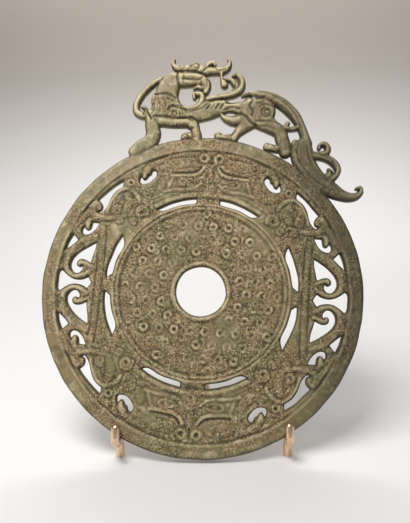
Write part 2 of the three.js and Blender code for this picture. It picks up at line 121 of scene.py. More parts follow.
def spline(knots, per_span=8):
    """Points of a centripetal Catmull-Rom curve through knots of any number of values."""
    p = np.array(knots, float)
    if len(p) == 2:
        return p[0] + (p[1] - p[0]) * np.linspace(0, 1, per_span + 1)[:, None]
    p = np.vstack([2 * p[0] - p[1], p, 2 * p[-1] - p[-2]])
    gap = np.sqrt(np.linalg.norm(np.diff(p, axis=0), axis=1))
    t = np.linspace(0, 1, per_span, endpoint=False)[:, None]
    runs = []
    for i in range(1, len(p) - 2):
        a, b, c, d = p[i - 1:i + 3]
        g0, g1, g2 = gap[i - 1:i + 2]
        away = ((b - a) / g0 - (c - a) / (g0 + g1) + (c - b) / g1) * g1
        into = ((c - b) / g1 - (d - b) / (g1 + g2) + (d - c) / g2) * g1
        rise = 3 * (c - b) - 2 * away - into
        runs.append(b + away * t + rise * t ** 2 + (2 * (b - c) + away + into) * t ** 3)
    return np.vstack([*runs, p[-2:-1]])


def outline(start, *runs):
    """A closed outline of smooth runs that meet at corners; each run starts where the last ended."""
    points = [np.array([start], float)]
    for run in runs:
        points.append(spline([points[-1][-1], *run])[1:])
    return np.vstack(points)[:-1]


def polar(radius, degrees):
    angle = math.radians(degrees)
    return radius * math.cos(angle), radius * math.sin(angle)


def spiral(x, y, outer, inner, start, turns, half):
    """Stroke knots that wind from the outer radius to the inner one."""
    steps = math.ceil(abs(turns) * 8)
    knots = []
    for i in range(steps + 1):
        part = i / steps
        dx, dy = polar(outer + (inner - outer) * part, start + 360 * turns * part)
        knots.append((x + dx, y + dy, half))
    return knots


QUARTERS = [(1, 1), (-1, 1), (-1, -1), (1, -1)]


def quarters(points):
    """The same knots in each quarter of the disc."""
    knots = np.array(points, float)
    return [knots * np.array([sx, sy, 1])[:knots.shape[1]] for sx, sy in QUARTERS]


# ---- The drawing: openings, carved lines and the dragon ----

SIDE_SLOT = outline(
    polar(54.3, 4.2),
    [polar(54.9, 12), polar(55, 22), (47.3, 28.5)],
    [polar(51.3, 26.5), polar(51.2, 17), polar(51.3, 7)],
    [polar(54.3, 4.2)],
)
TOP_SLOT = outline(
    (7, 52.9),
    [polar(53.6, 75), polar(53.5, 66), (29, 45)],
    [polar(51.2, 60), polar(50.9, 69), (7, 50.4)],
    [(7, 52.9)],
)
RIM_CRESCENT = outline(
    (50.3, 60.6),
    [polar(79.2, 46), polar(79.4, 41), (63.5, 48.3)],
    [(61.4, 46.3), (60.7, 44.1), (61.4, 42), (63, 41.3)],
    [(61.9, 40.5), (59.5, 42.5), (58, 45.5), (56.5, 50), (54, 54), (50, 57)],
    [(50.3, 60.6)],
)
UPPER_HOOK = outline(
    (34.6, 65.5),
    [(34, 67.7), (32.5, 68.3), (31.2, 66), (32.7, 63), (35, 60.6), (38.3, 59.7), (40.4, 60.4), (40.9, 62.2),
     (40.2, 64.7)],
    [(39.3, 63), (38.3, 62.2), (37, 63), (36, 64.8), (34.6, 65.5)],
)
SIDE_HOOK = outline(
    (65.6, 34.7),
    [(61.3, 34.8)],
    [(62.7, 32), (65, 29), (68, 27.4), (70.6, 28), (71.1, 30.4), (69.8, 32.3)],
    [(69.4, 30.9), (68.2, 29.9), (66.7, 30.5), (66, 32), (65.6, 34.7)],
)
RIM_TRIANGLE = outline((72.5, 23.8), [(75.8, 27.3)], [(78, 22.7), (79.3, 17.9)], [(76.3, 20.2), (72.5, 23.8)])
BIG_COMMA = outline(
    (61.8, 23.2),
    [(66, 20.7), (70, 18), (73.2, 14.8), (75.1, 11.3), (75.2, 8.6), (74, 6.2), (72, 4.9), (69.7, 5.3),
     (68.2, 7.4), (68.5, 9.3)],
    [(70.1, 8.3), (71.7, 9.4), (71.6, 11.6), (69.7, 13), (67, 12.7), (64, 11.2)],
    [(63.2, 15), (62.2, 19), (61.8, 23.2)],
)
BOW_TIE = outline(
    (62.3, 0),
    [(64.5, 3.4)],
    [(67, 1.9), (70, 1.2), (73, 1.4), (76, 2.9), (80, 6)],
    [(81.3, 4.5), (81.6, 0), (81.3, -4.5), (80, -6)],
    [(76, -2.9), (73, -1.4), (70, -1.2), (67, -1.9), (64.5, -3.4)],
    [(62.3, 0)],
)


def loop(x, y, radius, half):
    """Stroke knots of a ring."""
    return spiral(x, y, radius, radius, 90, 1.0, half)


# Raised forms of one quarter of the disc: height, then knots of x, y and half width.
FORMS = [
    # the mask: brow, lids, eye, cheek, nose and the boss over it
    (0.55, [(22.4, 65.4, .8), (14, 66, 1.1), (9, 66.8, 1.2), (6, 68.6, 1.1), (4, 71.4, 1)]),
    (0.5, [(26, 55.6, .8), (19, 57.3, 1), (12, 58, 1.1), (8, 59.2, 1), (5, 61.8, .8)]),
    (0.45, [(24, 56, .7), (22.8, 60.4, 1), (21, 65, .8)]),
    (0.45, [(8.9, 60.9, .6), (12, 60.2, .8), (16.2, 60.6, .8), (17.6, 62.3, .8), (15.8, 63.8, .8),
            (11.6, 63.9, .7), (9, 63, .6)]),
    (0.4, [(12.6, 62, 1.1), (13.4, 62.1, 1.1)]),
    (0.35, [(0, 73, 1.2), (0, 66, 1.7), (0, 60, 2.4), (0, 56.6, 3)]),
    (0.5, loop(4.2, 77, 2.1, .9)),
    (0.3, [(11, 74.4, 2.6), (19, 73, 3), (26.6, 70.4, 2.8)]),
    (0.35, [(27.6, 62, 1.8), (28.4, 58, 2.2), (33, 55, 2.4), (38, 55.6, 2.2)]),
    # the strap over the slot
    (0.4, [polar(55.4, a) + (1.5,) for a in (90, 82, 74, 66, 58)]),
    (0.35, [polar(58.2, a) + (.5,) for a in (66, 62, 57, 53)]),
    # the corner beast: scrolls, arch, ring, body and curls
    (0.6, spiral(37.6, 42.6, 3.7, 1, 200, -1.5, 1)),
    (0.6, [(39.6, 49.4, 1), (41.8, 52.6, 1.2), (45, 55, 1.3), (49, 55.6, 1.2), (52.6, 53, 1.1),
           (55, 49.2, 1), (56.8, 45.4, .9), (57.4, 42, .8)]),
    (0.5, loop(45.4, 59.5, 1.7, .8)),
    (0.55, spiral(52, 42.6, 2.7, .8, 120, -1.4, .8)),
    (0.45, [(47, 52, 1.8), (46, 49, 2.4), (45.8, 45.4, 2.2), (47.6, 41.4, 1.5)]),
    (0.4, [(49.6, 52.8, .5), (51.6, 49.8, .7), (52.4, 47, .5)]),
    (0.4, [(52, 51.6, .4), (53.6, 48.6, .6), (54.4, 45.6, .5)]),
    (0.5, spiral(42, 36.6, 2.1, .6, 30, 1.2, .75)),
    (0.5, spiral(50, 36.4, 2, .6, 200, -1.2, .75)),
    # its tendril, and the swirl against the rim
    (0.55, [(46.8, 39.6, .9), (51.6, 38.6, 1.2), (57, 37.6, 1.5), (61.8, 38.2, 1.5), (65.6, 40, 1.7),
            (66.6, 43.4, 1.8), (64.8, 45.4, 1.8)]),
    (0.45, [(66, 42.4, 1.4), (70, 38.6, 1.7), (74, 33.4, 1.8), (76.6, 28.8, 1.4)]),
    # the straps beside the slots and the openwork bars
    (0.35, [(58.6, 32, 1.3), (58.3, 24, 1.5), (58, 12, 1.5), (58, 0, 1.5)]),
    (0.45, [(62, 27, 1.1), (66, 25, 1.5), (70.6, 22.8, 1.6), (74.6, 18.4, 1.6), (77.4, 12.4, 1.6),
            (77.2, 7.4, 1.5), (73.4, 3.6, 1.3), (68.4, 3.6, 1.3), (63.6, 6.2, 1.3)]),
    (0.45, [(63, 9, 1.1), (66.4, 10.6, 1.1), (69.6, 10.9, 1), (70.2, 9.9, .8)]),
    (0.45, [(67.9, 32.2, 1.3), (68, 33.4, 1.6), (67.2, 35.4, 1.4)]),
    (0.45, [(37.9, 64.4, 1.2), (37.9, 65.8, 1.6), (36.4, 69, 1.6), (31.4, 72.4, 1.4), (25.4, 75, 1.2)]),
]

# Cut lines of one quarter: depth, then knots.
CUTS = [
    (0.45, [(22, 67.4, .6), (13, 67.9, .8), (8.2, 68.9, .8), (5.2, 71.6, .6)]),
    (0.6, loop(4.2, 77, .2, .8)),
    (0.4, [(0.3, 80, .5), (0.3, 73.6, .6)]),
    (0.5, loop(37.6, 42.6, .2, .7)),
    (0.45, loop(45.4, 59.5, .2, .6)),
    (0.35, [(28.6, 66, .6), (26.8, 68.4, .8), (21.6, 70, .7)]),
    (0.2, [(56.4, 30, .5), (56.2, 20, .6), (56, 10, .6), (55.9, 0, .6)]),
    (0.2, [(60.6, 29, .5), (60.2, 20, .6), (60.1, 8, .6), (60.1, 0, .6)]),
    (0.4, [(71.6, 41.6, .6), (75.6, 36.4, .7), (79, 29.6, .6)]),
    (0.4, [(60.4, 58.6, .5), (65.4, 52.2, .7), (70, 46, .5)]),
]

# Each limb, lock and curl of the dragon: its half thickness, then knots of x, y and half width.
DRAGON = [
    # neck, chest and body
    (2.6, [(-20, 125.3, 4.5), (-26.5, 124.3, 5.2), (-29.6, 119, 6.7), (-30.2, 113, 7.2),
           (-29.4, 105.4, 9.4)]),
    (2.5, [(-29, 104.6, 9.2), (-20, 104, 5), (-12, 103.8, 4.6), (-4, 107.6, 6), (1.5, 109.7, 5.3),
           (7.5, 109.7, 3), (14, 109.6, 4), (22, 108.4, 7)]),
    (2.7, [(-32, 98.6, 3.4), (-24, 98, 2.9), (-16, 98.4, 2.9), (-12.2, 96.5, 2.7)]),
    (2.8, [(22, 108.6, 8.6), (26.4, 108.4, 8.6)]),
    # near foreleg and its foot on the rim
    (2.6, [(-37.4, 101.5, 4.6), (-36.7, 95, 4.3), (-35.7, 90, 4.5), (-37.2, 85.6, 4.5), (-41.6, 82, 4.6),
           (-45.4, 78.6, 4)]),
    (2.3, [(-35, 93.4, 2.4), (-33.4, 91.6, 1.5), (-32, 90.6, .5)]),
    # middle leg and paw
    (2.4, [(-12, 98, 2.8), (-10.9, 94, 2.7), (-10, 90.5, 3.1), (-10, 87.5, 3.1)]),
    (2.2, [(-10.6, 89.6, 2.4), (-14.6, 90.4, 2.6), (-17.2, 89.4, 2.3)]),
    # leg and paw in front of the haunch
    (2.6, [(22.5, 104, 5.5), (17, 98.2, 3.7), (13.2, 93.6, 2.6), (11.8, 90.6, 2.4)]),
    (2.2, [(13, 91.4, 1.7), (8.3, 91.3, 2.1), (5.4, 90.7, 1.5), (2.5, 91.6, 2.5)]),
    (2.3, [(3, 104.5, .8), (6, 102.6, 2), (10, 101.6, 3), (15, 102.4, 3.8), (20, 104.5, 4.5)]),
    # hind leg and paw
    (2.6, [(27, 103.6, 6.4), (33, 99.6, 4.6), (38, 96.6, 4.1), (39.6, 92.6, 4), (41.2, 88, 4),
           (42, 84.6, 3.6)]),
    (2.2, [(37, 86, 2.2), (31.4, 87, 2.4)]),
    # lock of hair behind the neck, curled at its end
    (2.2, [(-33.4, 125.4, .9), (-38.2, 122, 1.6), (-42.7, 117.4, 1.9), (-46.1, 112, 2), (-47.6, 107, 2.1),
           (-46.6, 102.9, 2.3), (-43.3, 101.2, 2.3)]),
    (2.1, [(-42.4, 100.6, 1.8), (-41.6, 103.4, 1.3), (-42.2, 106.2, 1.1), (-44, 106.4, .9)]),
    (2.1, [(-36, 116, 1.1), (-37.4, 112.8, 1.5), (-37.4, 109.4, 1.5)]),
    # head, lips and the curled tongue
    (2.6, [(-27, 125.2, 4.4), (-20, 125.2, 4.6), (-13.4, 126, 3.9), (-9.8, 125.6, 3.4)]),
    (2.4, [(-11.4, 125, 3.4), (-8, 124, 3.4), (-6.6, 121, 2.5), (-7, 118.2, 1.7)]),
    (2.2, [(-14.2, 119.9, .8), (-12.2, 120.9, 1.2), (-8.6, 120.4, 1.6)]),
    (2.5, [(-27, 109.2, 1.8), (-20, 107, 2), (-14.4, 107.2, 2.1), (-10.3, 109.6, 2.1), (-8.7, 113.6, 2.1),
           (-9.6, 116.4, 1.7), (-13.2, 116.4, 1.6)]),
    (2.3, [(-13.6, 116.2, 1.4), (-13.4, 114.2, 1.3)]),
    # crest over the head, with a horn at each end and curls between
    (2.3, [(-27.7, 137.6, .9), (-27.8, 134.4, 1.4), (-25.3, 132.2, 2), (-20, 132.3, 2.4),
           (-14.4, 132.8, 3), (-8, 132, 3.2), (-2, 132.2, 2.6), (2.7, 132.9, 2.4), (5.4, 135.6, 1.7),
           (5.7, 138.4, 1.2), (4.7, 140, .8)]),
    (2.5, [(-14.6, 133.5, 3.2), (-13.8, 133.5, 3.2)]),
    (2.4, [(-7.4, 133.6, 1.5), (-6.2, 136.2, 1.6), (-3.9, 136.9, 1.4), (-2.6, 135.2, .8)]),
    (2.2, [(1.4, 130.8, 1.2), (1.6, 128, .9), (2.5, 125.8, 1.5), (3.7, 123.6, 2.4)]),
    # mane, a double curl behind the head
    (2.4, [(-5.4, 113.8, 1.8), (0, 115.4, 2), (5.4, 117, 2.3), (10, 118.8, 2.6), (13.2, 121.8, 2.6),
           (14, 125.2, 2.2), (12.8, 128.6, 1.8), (10.2, 130.4, 1.4), (8.4, 129.4, 1)]),
    (2.2, [(11.8, 121.4, 1.8), (10, 124.6, 2.2), (7.2, 126.8, 1.4), (4.4, 126.8, 1.1), (3, 125, 1.4)]),
    # back, tail and its branches
    (2.6, [(14.8, 117.4, .9), (20, 118.9, 1.6), (26, 118.6, 2.8), (32, 117.2, 3.3), (38, 114.3, 3.5),
           (43, 110.4, 3.4), (47, 106, 3.1), (50.2, 100.6, 2.6), (52.2, 96, 2.6), (53.8, 90.6, 3.4)]),
    (2.5, [(53, 90.5, 3.8), (51.6, 86.4, 6.2), (52.2, 82, 6.6), (54.6, 77.4, 6), (58.6, 72, 5.6),
           (64, 66.8, 5)]),
    (2.2, [(40.5, 98.9, 1.7), (45, 98.8, 1.4), (47.9, 99.9, 1.6), (50, 102, 1.4)]),
    (2.1, [(41.4, 99.6, 1.5), (42.4, 102, 1.4)]),
    (2.1, [(46.4, 89, 2), (47.2, 91.6, 1.1)]),
    (2.2, [(62.4, 84, 2.2), (65.8, 86, 2), (66, 89.3, 1.8), (63.8, 91, 1.6), (61.8, 89.6, 1.5),
           (61.4, 87.9, 1.1)]),
    (2.3, [(56, 83.6, 3.2), (62, 83.2, 2.2), (67, 82, 2.3), (71, 79.1, 2.2), (72.6, 75.8, 1.9),
           (71.7, 72.5, 1.7), (69.4, 70.2, 2.2)]),
    (2.2, [(67.4, 71.6, 2.6), (68.5, 74.5, 1.4), (67.2, 75.8, .9)]),
    (2.5, [(63, 67.4, 4.8), (69, 64.2, 4.7), (74, 61.7, 3.6), (79.5, 60.3, 2.7), (83.8, 61.1, 2.1),
           (86, 63.7, 1.6), (85.5, 66.3, 1.1), (83.6, 65.6, .9)]),
]

# Lines cut into the dragon, or raised on it: height, then knots of x, y and half width.
DRAGON_LINES = [
    # crest
    (-0.9, spiral(-14.4, 133.6, 2.9, .9, 150, 1.4, .65)),
    (-0.9, spiral(-21.9, 133, 2, .7, 60, 1.1, .55)),
    (-0.7, [(-18.2, 131.4, .5), (-17.6, 134, .6), (-17.8, 136, .4)]),
    (-0.8, [(-9.6, 130.8, .6), (-7.4, 133.2, .7), (-5.2, 134.8, .7), (-3.4, 134.6, .6)]),
    (-0.6, [(-4, 133.6, .5), (0, 131.6, .6), (3.4, 133, .5)]),
    (-0.8, [(-23.5, 130.6, .6), (-17, 130.7, .8), (-10.5, 129.8, .8), (-8, 128.2, 1.2), (-5.8, 128.8, 1)]),
    # head and lips
    (-0.9, [(-24.6, 129.6, .6), (-24.3, 125, 1), (-23.2, 121, .8)]),
    (-0.4, [(-20.9, 128.4, .4), (-20.7, 125.6, .6), (-20.8, 122.4, .5)]),
    (-0.8, [(-21, 125.2, .7), (-16, 124.9, .9), (-11.6, 125.1, .8), (-9.6, 126.6, .6)]),
    (0.35, [(-21.4, 127.8, .8), (-15, 128.1, 1.2), (-10.6, 127.7, .9)]),
    (-0.6, [(-10.2, 124.6, .6), (-10, 121.6, .7), (-8.6, 119.4, .5)]),
    (-0.4, [(-7, 125.6, .4), (-6.6, 122, .5), (-6.8, 119, .4)]),
    (-0.6, loop(-12.6, 120.5, .6, .5)),
    (-1.1, [(-12.9, 116, .7), (-12.2, 114, .8)]),
    # neck and shoulder
    (-0.8, [(-36.6, 114.3, .6), (-31, 114.9, 1), (-26, 113.8, .9), (-24.4, 112.4, .5)]),
    (0.35, [(-33.5, 125.8, .7), (-29, 128, 1.1), (-25.8, 128.2, .8)]),
    (-0.9, [(-28.4, 104.8, .6), (-26.8, 107.2, 1), (-22, 107.5, 1.2), (-17.6, 105.7, .8)]),
    (-0.7, loop(-24.2, 103.2, 1.3, .6)),
    (-0.6, loop(-20.8, 103, .5, .5)),
    (-0.6, [(-37.4, 111, .5), (-36.6, 106, .7), (-37.4, 101.8, .6)]),
    (-0.5, [(-34.2, 110.6, .5), (-33, 107, .6), (-33.4, 102.6, .5)]),
    (-0.5, [(-31.4, 112, .4), (-29.8, 109.4, .6), (-30.2, 103.4, .5)]),
    (-0.8, [(-36.6, 100.7, .6), (-30, 100.8, 1), (-20, 100.6, 1), (-13.6, 101.4, .7)]),
    (-0.7, [(-13.6, 101.6, .6), (-11, 99.6, .8), (-9, 96.8, .6)]),
    # the lock's curled end
    (-1.1, [(-42.2, 107.4, .6), (-41.9, 104, .8), (-42.6, 101.4, .6)]),
    (-1.1, [(-40.4, 103.2, .5), (-38.9, 101, .8), (-37.4, 98.4, .5)]),
    (-0.6, [(-36.6, 100, .5), (-34.8, 98, .6)]),
    # body hatching and the groove along the back
    (-0.7, [(-5.4, 106.8, .45), (-3.6, 110, .55)]),
    (-0.7, [(-2.8, 107.2, .45), (-1, 110.6, .55)]),
    (-0.7, [(-0.2, 107.4, .45), (1.6, 110.8, .55)]),
    (-0.7, [(2.4, 107.6, .45), (4.2, 110.8, .55)]),
    (-0.6, [(-14, 105.2, .5), (-8, 107.6, .8), (-3, 111.9, .8), (3, 113.3, .7)]),
    # mane
    (-0.8, [(-4.6, 112.4, .5), (0, 113.7, .8), (6, 114.8, .9), (11, 116.2, .9), (15, 118.6, .6)]),
    (-0.55, [(-1, 115.8, .4), (5, 117.2, .6), (9.6, 119.4, .7), (12.4, 122.8, .7), (12.6, 127, .5)]),
    (-0.55, [(3, 118.7, .4), (8, 120.5, .6), (10.3, 123.6, .6), (9.6, 127, .5)]),
    (-0.7, loop(9.8, 129.6, .7, .5)),
    (-0.9, [(2.6, 126.5, .5), (4.6, 126, .8), (6.4, 124.4, .7), (7.8, 122.2, .6)]),
    # waist and haunch
    (-0.8, [(5.6, 111.7, .6), (9, 112, .9), (12.4, 113.9, .9), (15.6, 117, .8), (19.4, 118.4, .6)]),
    (-0.8, [(5.4, 107.8, .7), (9, 109, 1.1), (13.6, 108.4, 1)]),
    (0.6, [(4.6, 105.6, .5), (9, 105.8, .9), (13.2, 106.1, .6)]),
    (-0.6, [(4.4, 104, .4), (9, 104, .6), (13.6, 104.2, .6), (16, 102.6, .5)]),
    (-0.8, [(19.2, 117.2, .6), (21, 113.8, .9), (19.6, 110.6, .8), (21.8, 107.4, .8), (21, 104.4, .6)]),
    (-0.6, [(23, 115.2, .5), (26, 116.2, .7), (28.6, 117.4, .5)]),
    (-0.6, [(23, 112.2, .5), (26, 113, .7), (28, 114.6, .5)]),
    (-0.8, spiral(29.6, 107.2, 3.2, .9, 120, 1.5, .7)),
    (-0.6, [(25.4, 110.6, .5), (28.6, 112.2, .7), (33.4, 111, .6)]),
    (-0.9, [(14.4, 105.6, .6), (17.6, 104.2, 1), (20.6, 101, 1.1), (24.4, 98.8, .8)]),
    (-0.6, [(23.4, 101.6, .5), (28, 101.6, .8), (33.6, 102, .7), (38, 100.6, .5)]),
    (-0.5, [(26, 98.6, .5), (31, 98.4, .6), (35.6, 96.4, .5)]),
    # paws
    (-0.7, loop(31.2, 87.4, 1.1, .5)),
    (-0.6, [(34.6, 89.8, .5), (35.4, 86.4, .7), (38, 84.6, .5)]),
    (-0.5, [(37.2, 95, .5), (38.8, 91.6, .6), (38.4, 88, .5)]),
    (-0.6, [(1, 90.8, .4), (2, 92.2, .5), (4.2, 91.8, .5)]),
    (-0.7, [(5.4, 93, .5), (7.4, 91.2, .7), (10.4, 92.2, .6), (12.8, 94.6, .5)]),
    (-0.7, [(-18.6, 90, .5), (-16.6, 91, .6), (-14.4, 89.4, .5)]),
    (-0.7, [(-17.8, 88, .5), (-15.8, 88.9, .5), (-13.6, 87.8, .4)]),
    (-0.5, [(-13.2, 92.4, .4), (-12.2, 89.6, .5)]),
    # tail
    (-0.55, [(24, 119.3, .4), (31, 118.6, .6), (38, 115.2, .7), (44, 109.6, .7), (49, 101.6, .7),
             (51.8, 93, .6)]),
    (-0.5, [(34, 113.9, .4), (39, 111.2, .6), (43.6, 106.6, .7), (47.4, 100, .5)]),
    (-0.6, [(49.6, 90, .5), (48.4, 84.6, .8), (50.4, 78.6, .8), (55, 72.6, .8), (60.4, 67.8, .7),
            (66, 64.4, .5)]),
    (-0.5, [(54.4, 88.6, .5), (55.4, 82.6, .7), (58.4, 76.6, .8), (63.2, 71.4, .7), (69, 66.8, .6),
            (76, 62.4, .5)]),
    (-1.0, loop(62.3, 89, .5, .6)),
    (-0.6, [(57, 84.2, .5), (63, 83.4, .7), (68.4, 81.2, .7), (71.4, 77.4, .5)]),
    (-1.1, [(68.6, 74.2, .7), (69, 73.6, .7)]),
    (-0.6, [(43.4, 98.6, .5), (47, 99.4, .6)]),
]


# Where the skin is still smooth: x, y, the radius of the smooth core, and where it ends.
SMOOTH_PATCHES = [
    (-37, 92, 8, 16),  # the near foreleg
    (-29, 122, 5, 10),  # the neck
    (-60, 62, 12, 30),  # the upper left of the rim
]


# ---- The height field ----

def smooth(value, start, end):
    part = np.clip((value - start) / (end - start), 0, 1)
    return part * part * (3 - 2 * part)


def hump(distance, half):
    """A rounded ridge section, 1 on its crest and 0 beyond its half width."""
    return np.clip(1 - (distance / half) ** 2, 0, 1) ** 0.75


def ripple(x, y, wavelength, seed):
    """Smooth seeded unevenness of about unit size."""
    waves = 14
    random = np.random.RandomState(seed)
    total = np.zeros_like(x)
    for _ in range(waves):
        angle, phase = random.uniform(0, 2 * math.pi, 2)
        pitch = wavelength * random.uniform(0.6, 1.7)
        total += np.sin((x * math.cos(angle) + y * math.sin(angle)) * 2 * math.pi / pitch + phase)
    return total / math.sqrt(waves / 2)


def from_segment(x, y, a, b):
    """How far along a segment each spot's nearest point is, from 0 to 1, and how far away it is."""
    dx, dy = b[0] - a[0], b[1] - a[1]
    t = np.clip(((x - a[0]) * dx + (y - a[1]) * dy) / (dx * dx + dy * dy), 0, 1)
    return t, np.hypot(x - a[0] - t * dx, y - a[1] - t * dy)


class Plate:
    """The disc's plane as a raster: how far each spot is outside the jade, and how high its face is."""

    def __init__(self):
        self.x = np.arange(-98, 98, RASTER)
        self.y = np.arange(-96, 148, RASTER)
        self.X, self.Y = np.meshgrid(self.x, self.y)
        self.R = np.hypot(self.X, self.Y)
        self.draw()

    def window(self, points, margin):
        """The rows and columns of the raster that hold the points, with a margin round them."""
        low, high = points[:, :2].min(0) - margin, points[:, :2].max(0) + margin
        rows = slice(*np.searchsorted(self.y, (low[1], high[1])))
        cols = slice(*np.searchsorted(self.x, (low[0], high[0])))
        return rows, cols

    def from_stroke(self, knots):
        """A window, how far each spot in it is outside a tapered stroke, and the half width there."""
        spine = spline(knots)
        rows, cols = self.window(spine, STROKE_MARGIN + spine[:, 2].max())
        x, y = self.X[rows, cols], self.Y[rows, cols]
        gap = np.full(x.shape, FAR)
        half = np.ones(x.shape)
        for a, b in zip(spine, spine[1:]):
            t, away = from_segment(x, y, a, b)
            width = a[2] + (b[2] - a[2]) * t
            miss = away - width
            nearer = miss < gap
            gap[nearer] = miss[nearer]
            half[nearer] = width[nearer]
        return rows, cols, gap, half

    def from_outline(self, points):
        """A window, with how far each spot in it is outside a closed outline."""
        rows, cols = self.window(points, OUTLINE_MARGIN)
        x, y = self.X[rows, cols], self.Y[rows, cols]
        gap = np.full(x.shape, FAR)
        inside = np.zeros(x.shape, bool)
        for a, b in zip(points, np.roll(points, -1, axis=0)):
            gap = np.minimum(gap, from_segment(x, y, a, b)[1])
            dx, dy = b - a
            if dy:
                inside ^= ((a[1] > y) != (b[1] > y)) & (x < dx * (y - a[1]) / dy + a[0])
        return rows, cols, np.where(inside, -gap, gap)

    def draw(self):
        self.disc_edge()
        self.disc_face()
        self.dragon()
        self.join()

    def disc_edge(self):
        edge = np.maximum(self.R - DISC_RADIUS, HOLE_RADIUS - self.R)
        shapes = [SIDE_SLOT, TOP_SLOT, RIM_CRESCENT, UPPER_HOOK, SIDE_HOOK, RIM_TRIANGLE, BIG_COMMA]
        outlines = [points for shape in shapes for points in quarters(shape)]
        outlines += quarters(BOW_TIE)[:2]
        for points in outlines:
            rows, cols, gap = self.from_outline(points)
            edge[rows, cols] = np.maximum(edge[rows, cols], -gap)
        self.edge_disc = edge + 0.08 * ripple(self.X, self.Y, 16, seed=3)

    def disc_face(self):
        r = self.R
        in_zone = smooth(r, FIELD_RADIUS + 0.6, FIELD_RADIUS + 1.8)
        self.face = GROUND - 0.25 * in_zone + 0.06 * ripple(self.X, self.Y, 9, seed=5)
        self.face += 0.45 * (1 - smooth(r, 15.9, 16.9)) - 0.2 * hump(r - 17.6, 0.9)  # collar
        self.face += 0.55 * hump(r - 49.4, 1) + 0.5 * hump(r - 47.2, 0.9)  # double ring
        self.face -= 0.2 * hump(r - 45.4, 1)  # the groove inside it
        self.grains()
        self.forms()
        self.face += 0.2 * hump(r - 80.2, 0.7)  # the fine line inside the rim
        # The plain rim, which falls away outwards.
        rim = 2.35 - 0.3 * smooth(r, 82.8, 85.4) - 0.5 * smooth(r, 87.2, 89.4)
        self.face += (rim - self.face) * smooth(r, RIM_INNER - 0.9, RIM_INNER)

    def forms(self):
        """Rounded raised forms over the outer zone, each with a shallow cut round it."""
        raised = np.zeros(self.R.shape)
        away = np.full(self.R.shape, FAR)
        for rise, knots in FORMS:
            for stroke in quarters(knots):
                rows, cols, gap, half = self.from_stroke(stroke)
                crown = np.clip(-gap / np.minimum(half, 1.5), 0, 1)
                raised[rows, cols] = np.maximum(raised[rows, cols], rise * np.sqrt(1 - (1 - crown) ** 2))
                away[rows, cols] = np.minimum(away[rows, cols], gap)
        self.face += raised - 0.3 * hump(np.maximum(away, 0) - 0.5, 0.7)
        for depth, knots in CUTS:
            for stroke in quarters(knots):
                self.line(-depth, stroke)

    def line(self, rise, knots, target=None):
        """Raises or cuts one rounded line."""
        face = self.face if target is None else target
        rows, cols, gap, half = self.from_stroke(knots)
        face[rows, cols] += rise * hump(np.maximum(gap + half, 0), half)

    def grains(self):
        """Raised grains in staggered rows, worn unevenly, each with a curled tail."""
        pitch = bpy.context.scene.bi_jade.grain_pitch / MM
        row_step = pitch * math.sin(math.pi / 3)
        inside, reach = 20.1, 44.4  # radii that the grains' middles lie between
        rows, columns = int(reach / row_step), int(reach / pitch) + 1
        self.patchy = grit(self.R.shape, 4, seed=41)
        random = np.random.RandomState(seed=11)
        for row in range(-rows, rows + 1):
            for column in range(-columns, columns + 1):
                x = (column + 0.5 * (row % 2)) * pitch
                y = row * row_step
                if inside < math.hypot(x, y) < reach:
                    self.grain(x, y, random.uniform(-40, 40), random.uniform(0.55, 1))

    def grain(self, x, y, turn, wear):
        rows, cols = self.window(np.array([[x, y]]), 4.4)
        r = np.hypot(self.X[rows, cols] - x, self.Y[rows, cols] - y)
        section = 0.15 * hump(r, 3) + 0.55 * hump(r - 1.75, 0.95)  # a low mound and the ring on it
        section -= 0.5 * hump(r, 0.95) + 0.25 * hump(r - 3.3, 0.8)  # its pit and the cut round it
        kept = np.clip(0.85 + 0.22 * self.patchy[rows, cols], 0.3, 1.2)
        self.face[rows, cols] += wear * section * kept
        self.line(0.3 * wear, spiral(x, y, 2.4, 3.9, 250 + turn, 0.3, 0.6))

    def dragon(self):
        self.edge_dragon = np.full(self.R.shape, FAR)
        self.body = np.full(self.R.shape, BELOW)
        for half_thickness, knots in DRAGON:
            rows, cols, gap, half = self.from_stroke(knots)
            edge = self.edge_dragon[rows, cols]
            self.edge_dragon[rows, cols] = np.minimum(edge, gap)
            # A rounded limb: a roll at its edges, and a low crown over its whole width.
            inward = np.maximum(-gap, 0)
            roll = np.clip(inward / np.minimum(half, 3.2), 0, 1)
            crown = np.clip(inward / half, 0, 1)
            limb = 0.1 + (half_thickness - 0.5) * np.sqrt(1 - (1 - roll) ** 2) + 0.55 * (1 - (1 - crown) ** 2)
            limb[gap > 0] = BELOW
            self.body[rows, cols] = np.maximum(self.body[rows, cols], limb)
        for rise, knots in DRAGON_LINES:
            self.line(rise, knots, self.body)

    def join(self):
        # The openings' edges are worn round.
        worn = EDGE_ROUND * (1 - np.clip(-self.edge_disc / EDGE_ROUND, 0, 1)) ** 2
        disc = self.face - 0.8 * worn
        disc[self.edge_disc > 0] = BELOW
        self.edge = np.minimum(self.edge_disc, self.edge_dragon)
        on_dragon = 1 - smooth(self.edge_dragon, -0.6, 0.6)
        # Where the skin has decayed it is rough and speckled; the rim and most of the dragon are smoother.
        decay = 0.8 + 0.3 * ripple(self.X, self.Y, 42, seed=17) - 0.35 * smooth(self.R, 81, 83)
        smoothed = np.zeros(self.R.shape)
        for x, y, core, reach in SMOOTH_PATCHES:
            smoothed = np.maximum(smoothed, 1 - smooth(np.hypot(self.X - x, self.Y - y), core, reach))
        self.rough = np.clip(decay - 0.12 * on_dragon - 0.55 * smoothed, 0.12, 1)
        self.height = np.maximum(np.maximum(disc, self.body), 0.2)
        fine, coarse = grit(self.R.shape, 2, seed=31), grit(self.R.shape, 5, seed=32)
        self.height += self.rough * (0.055 * fine + 0.06 * coarse)
        self.height = np.minimum(self.height, RELIEF_TOP + 0.4)
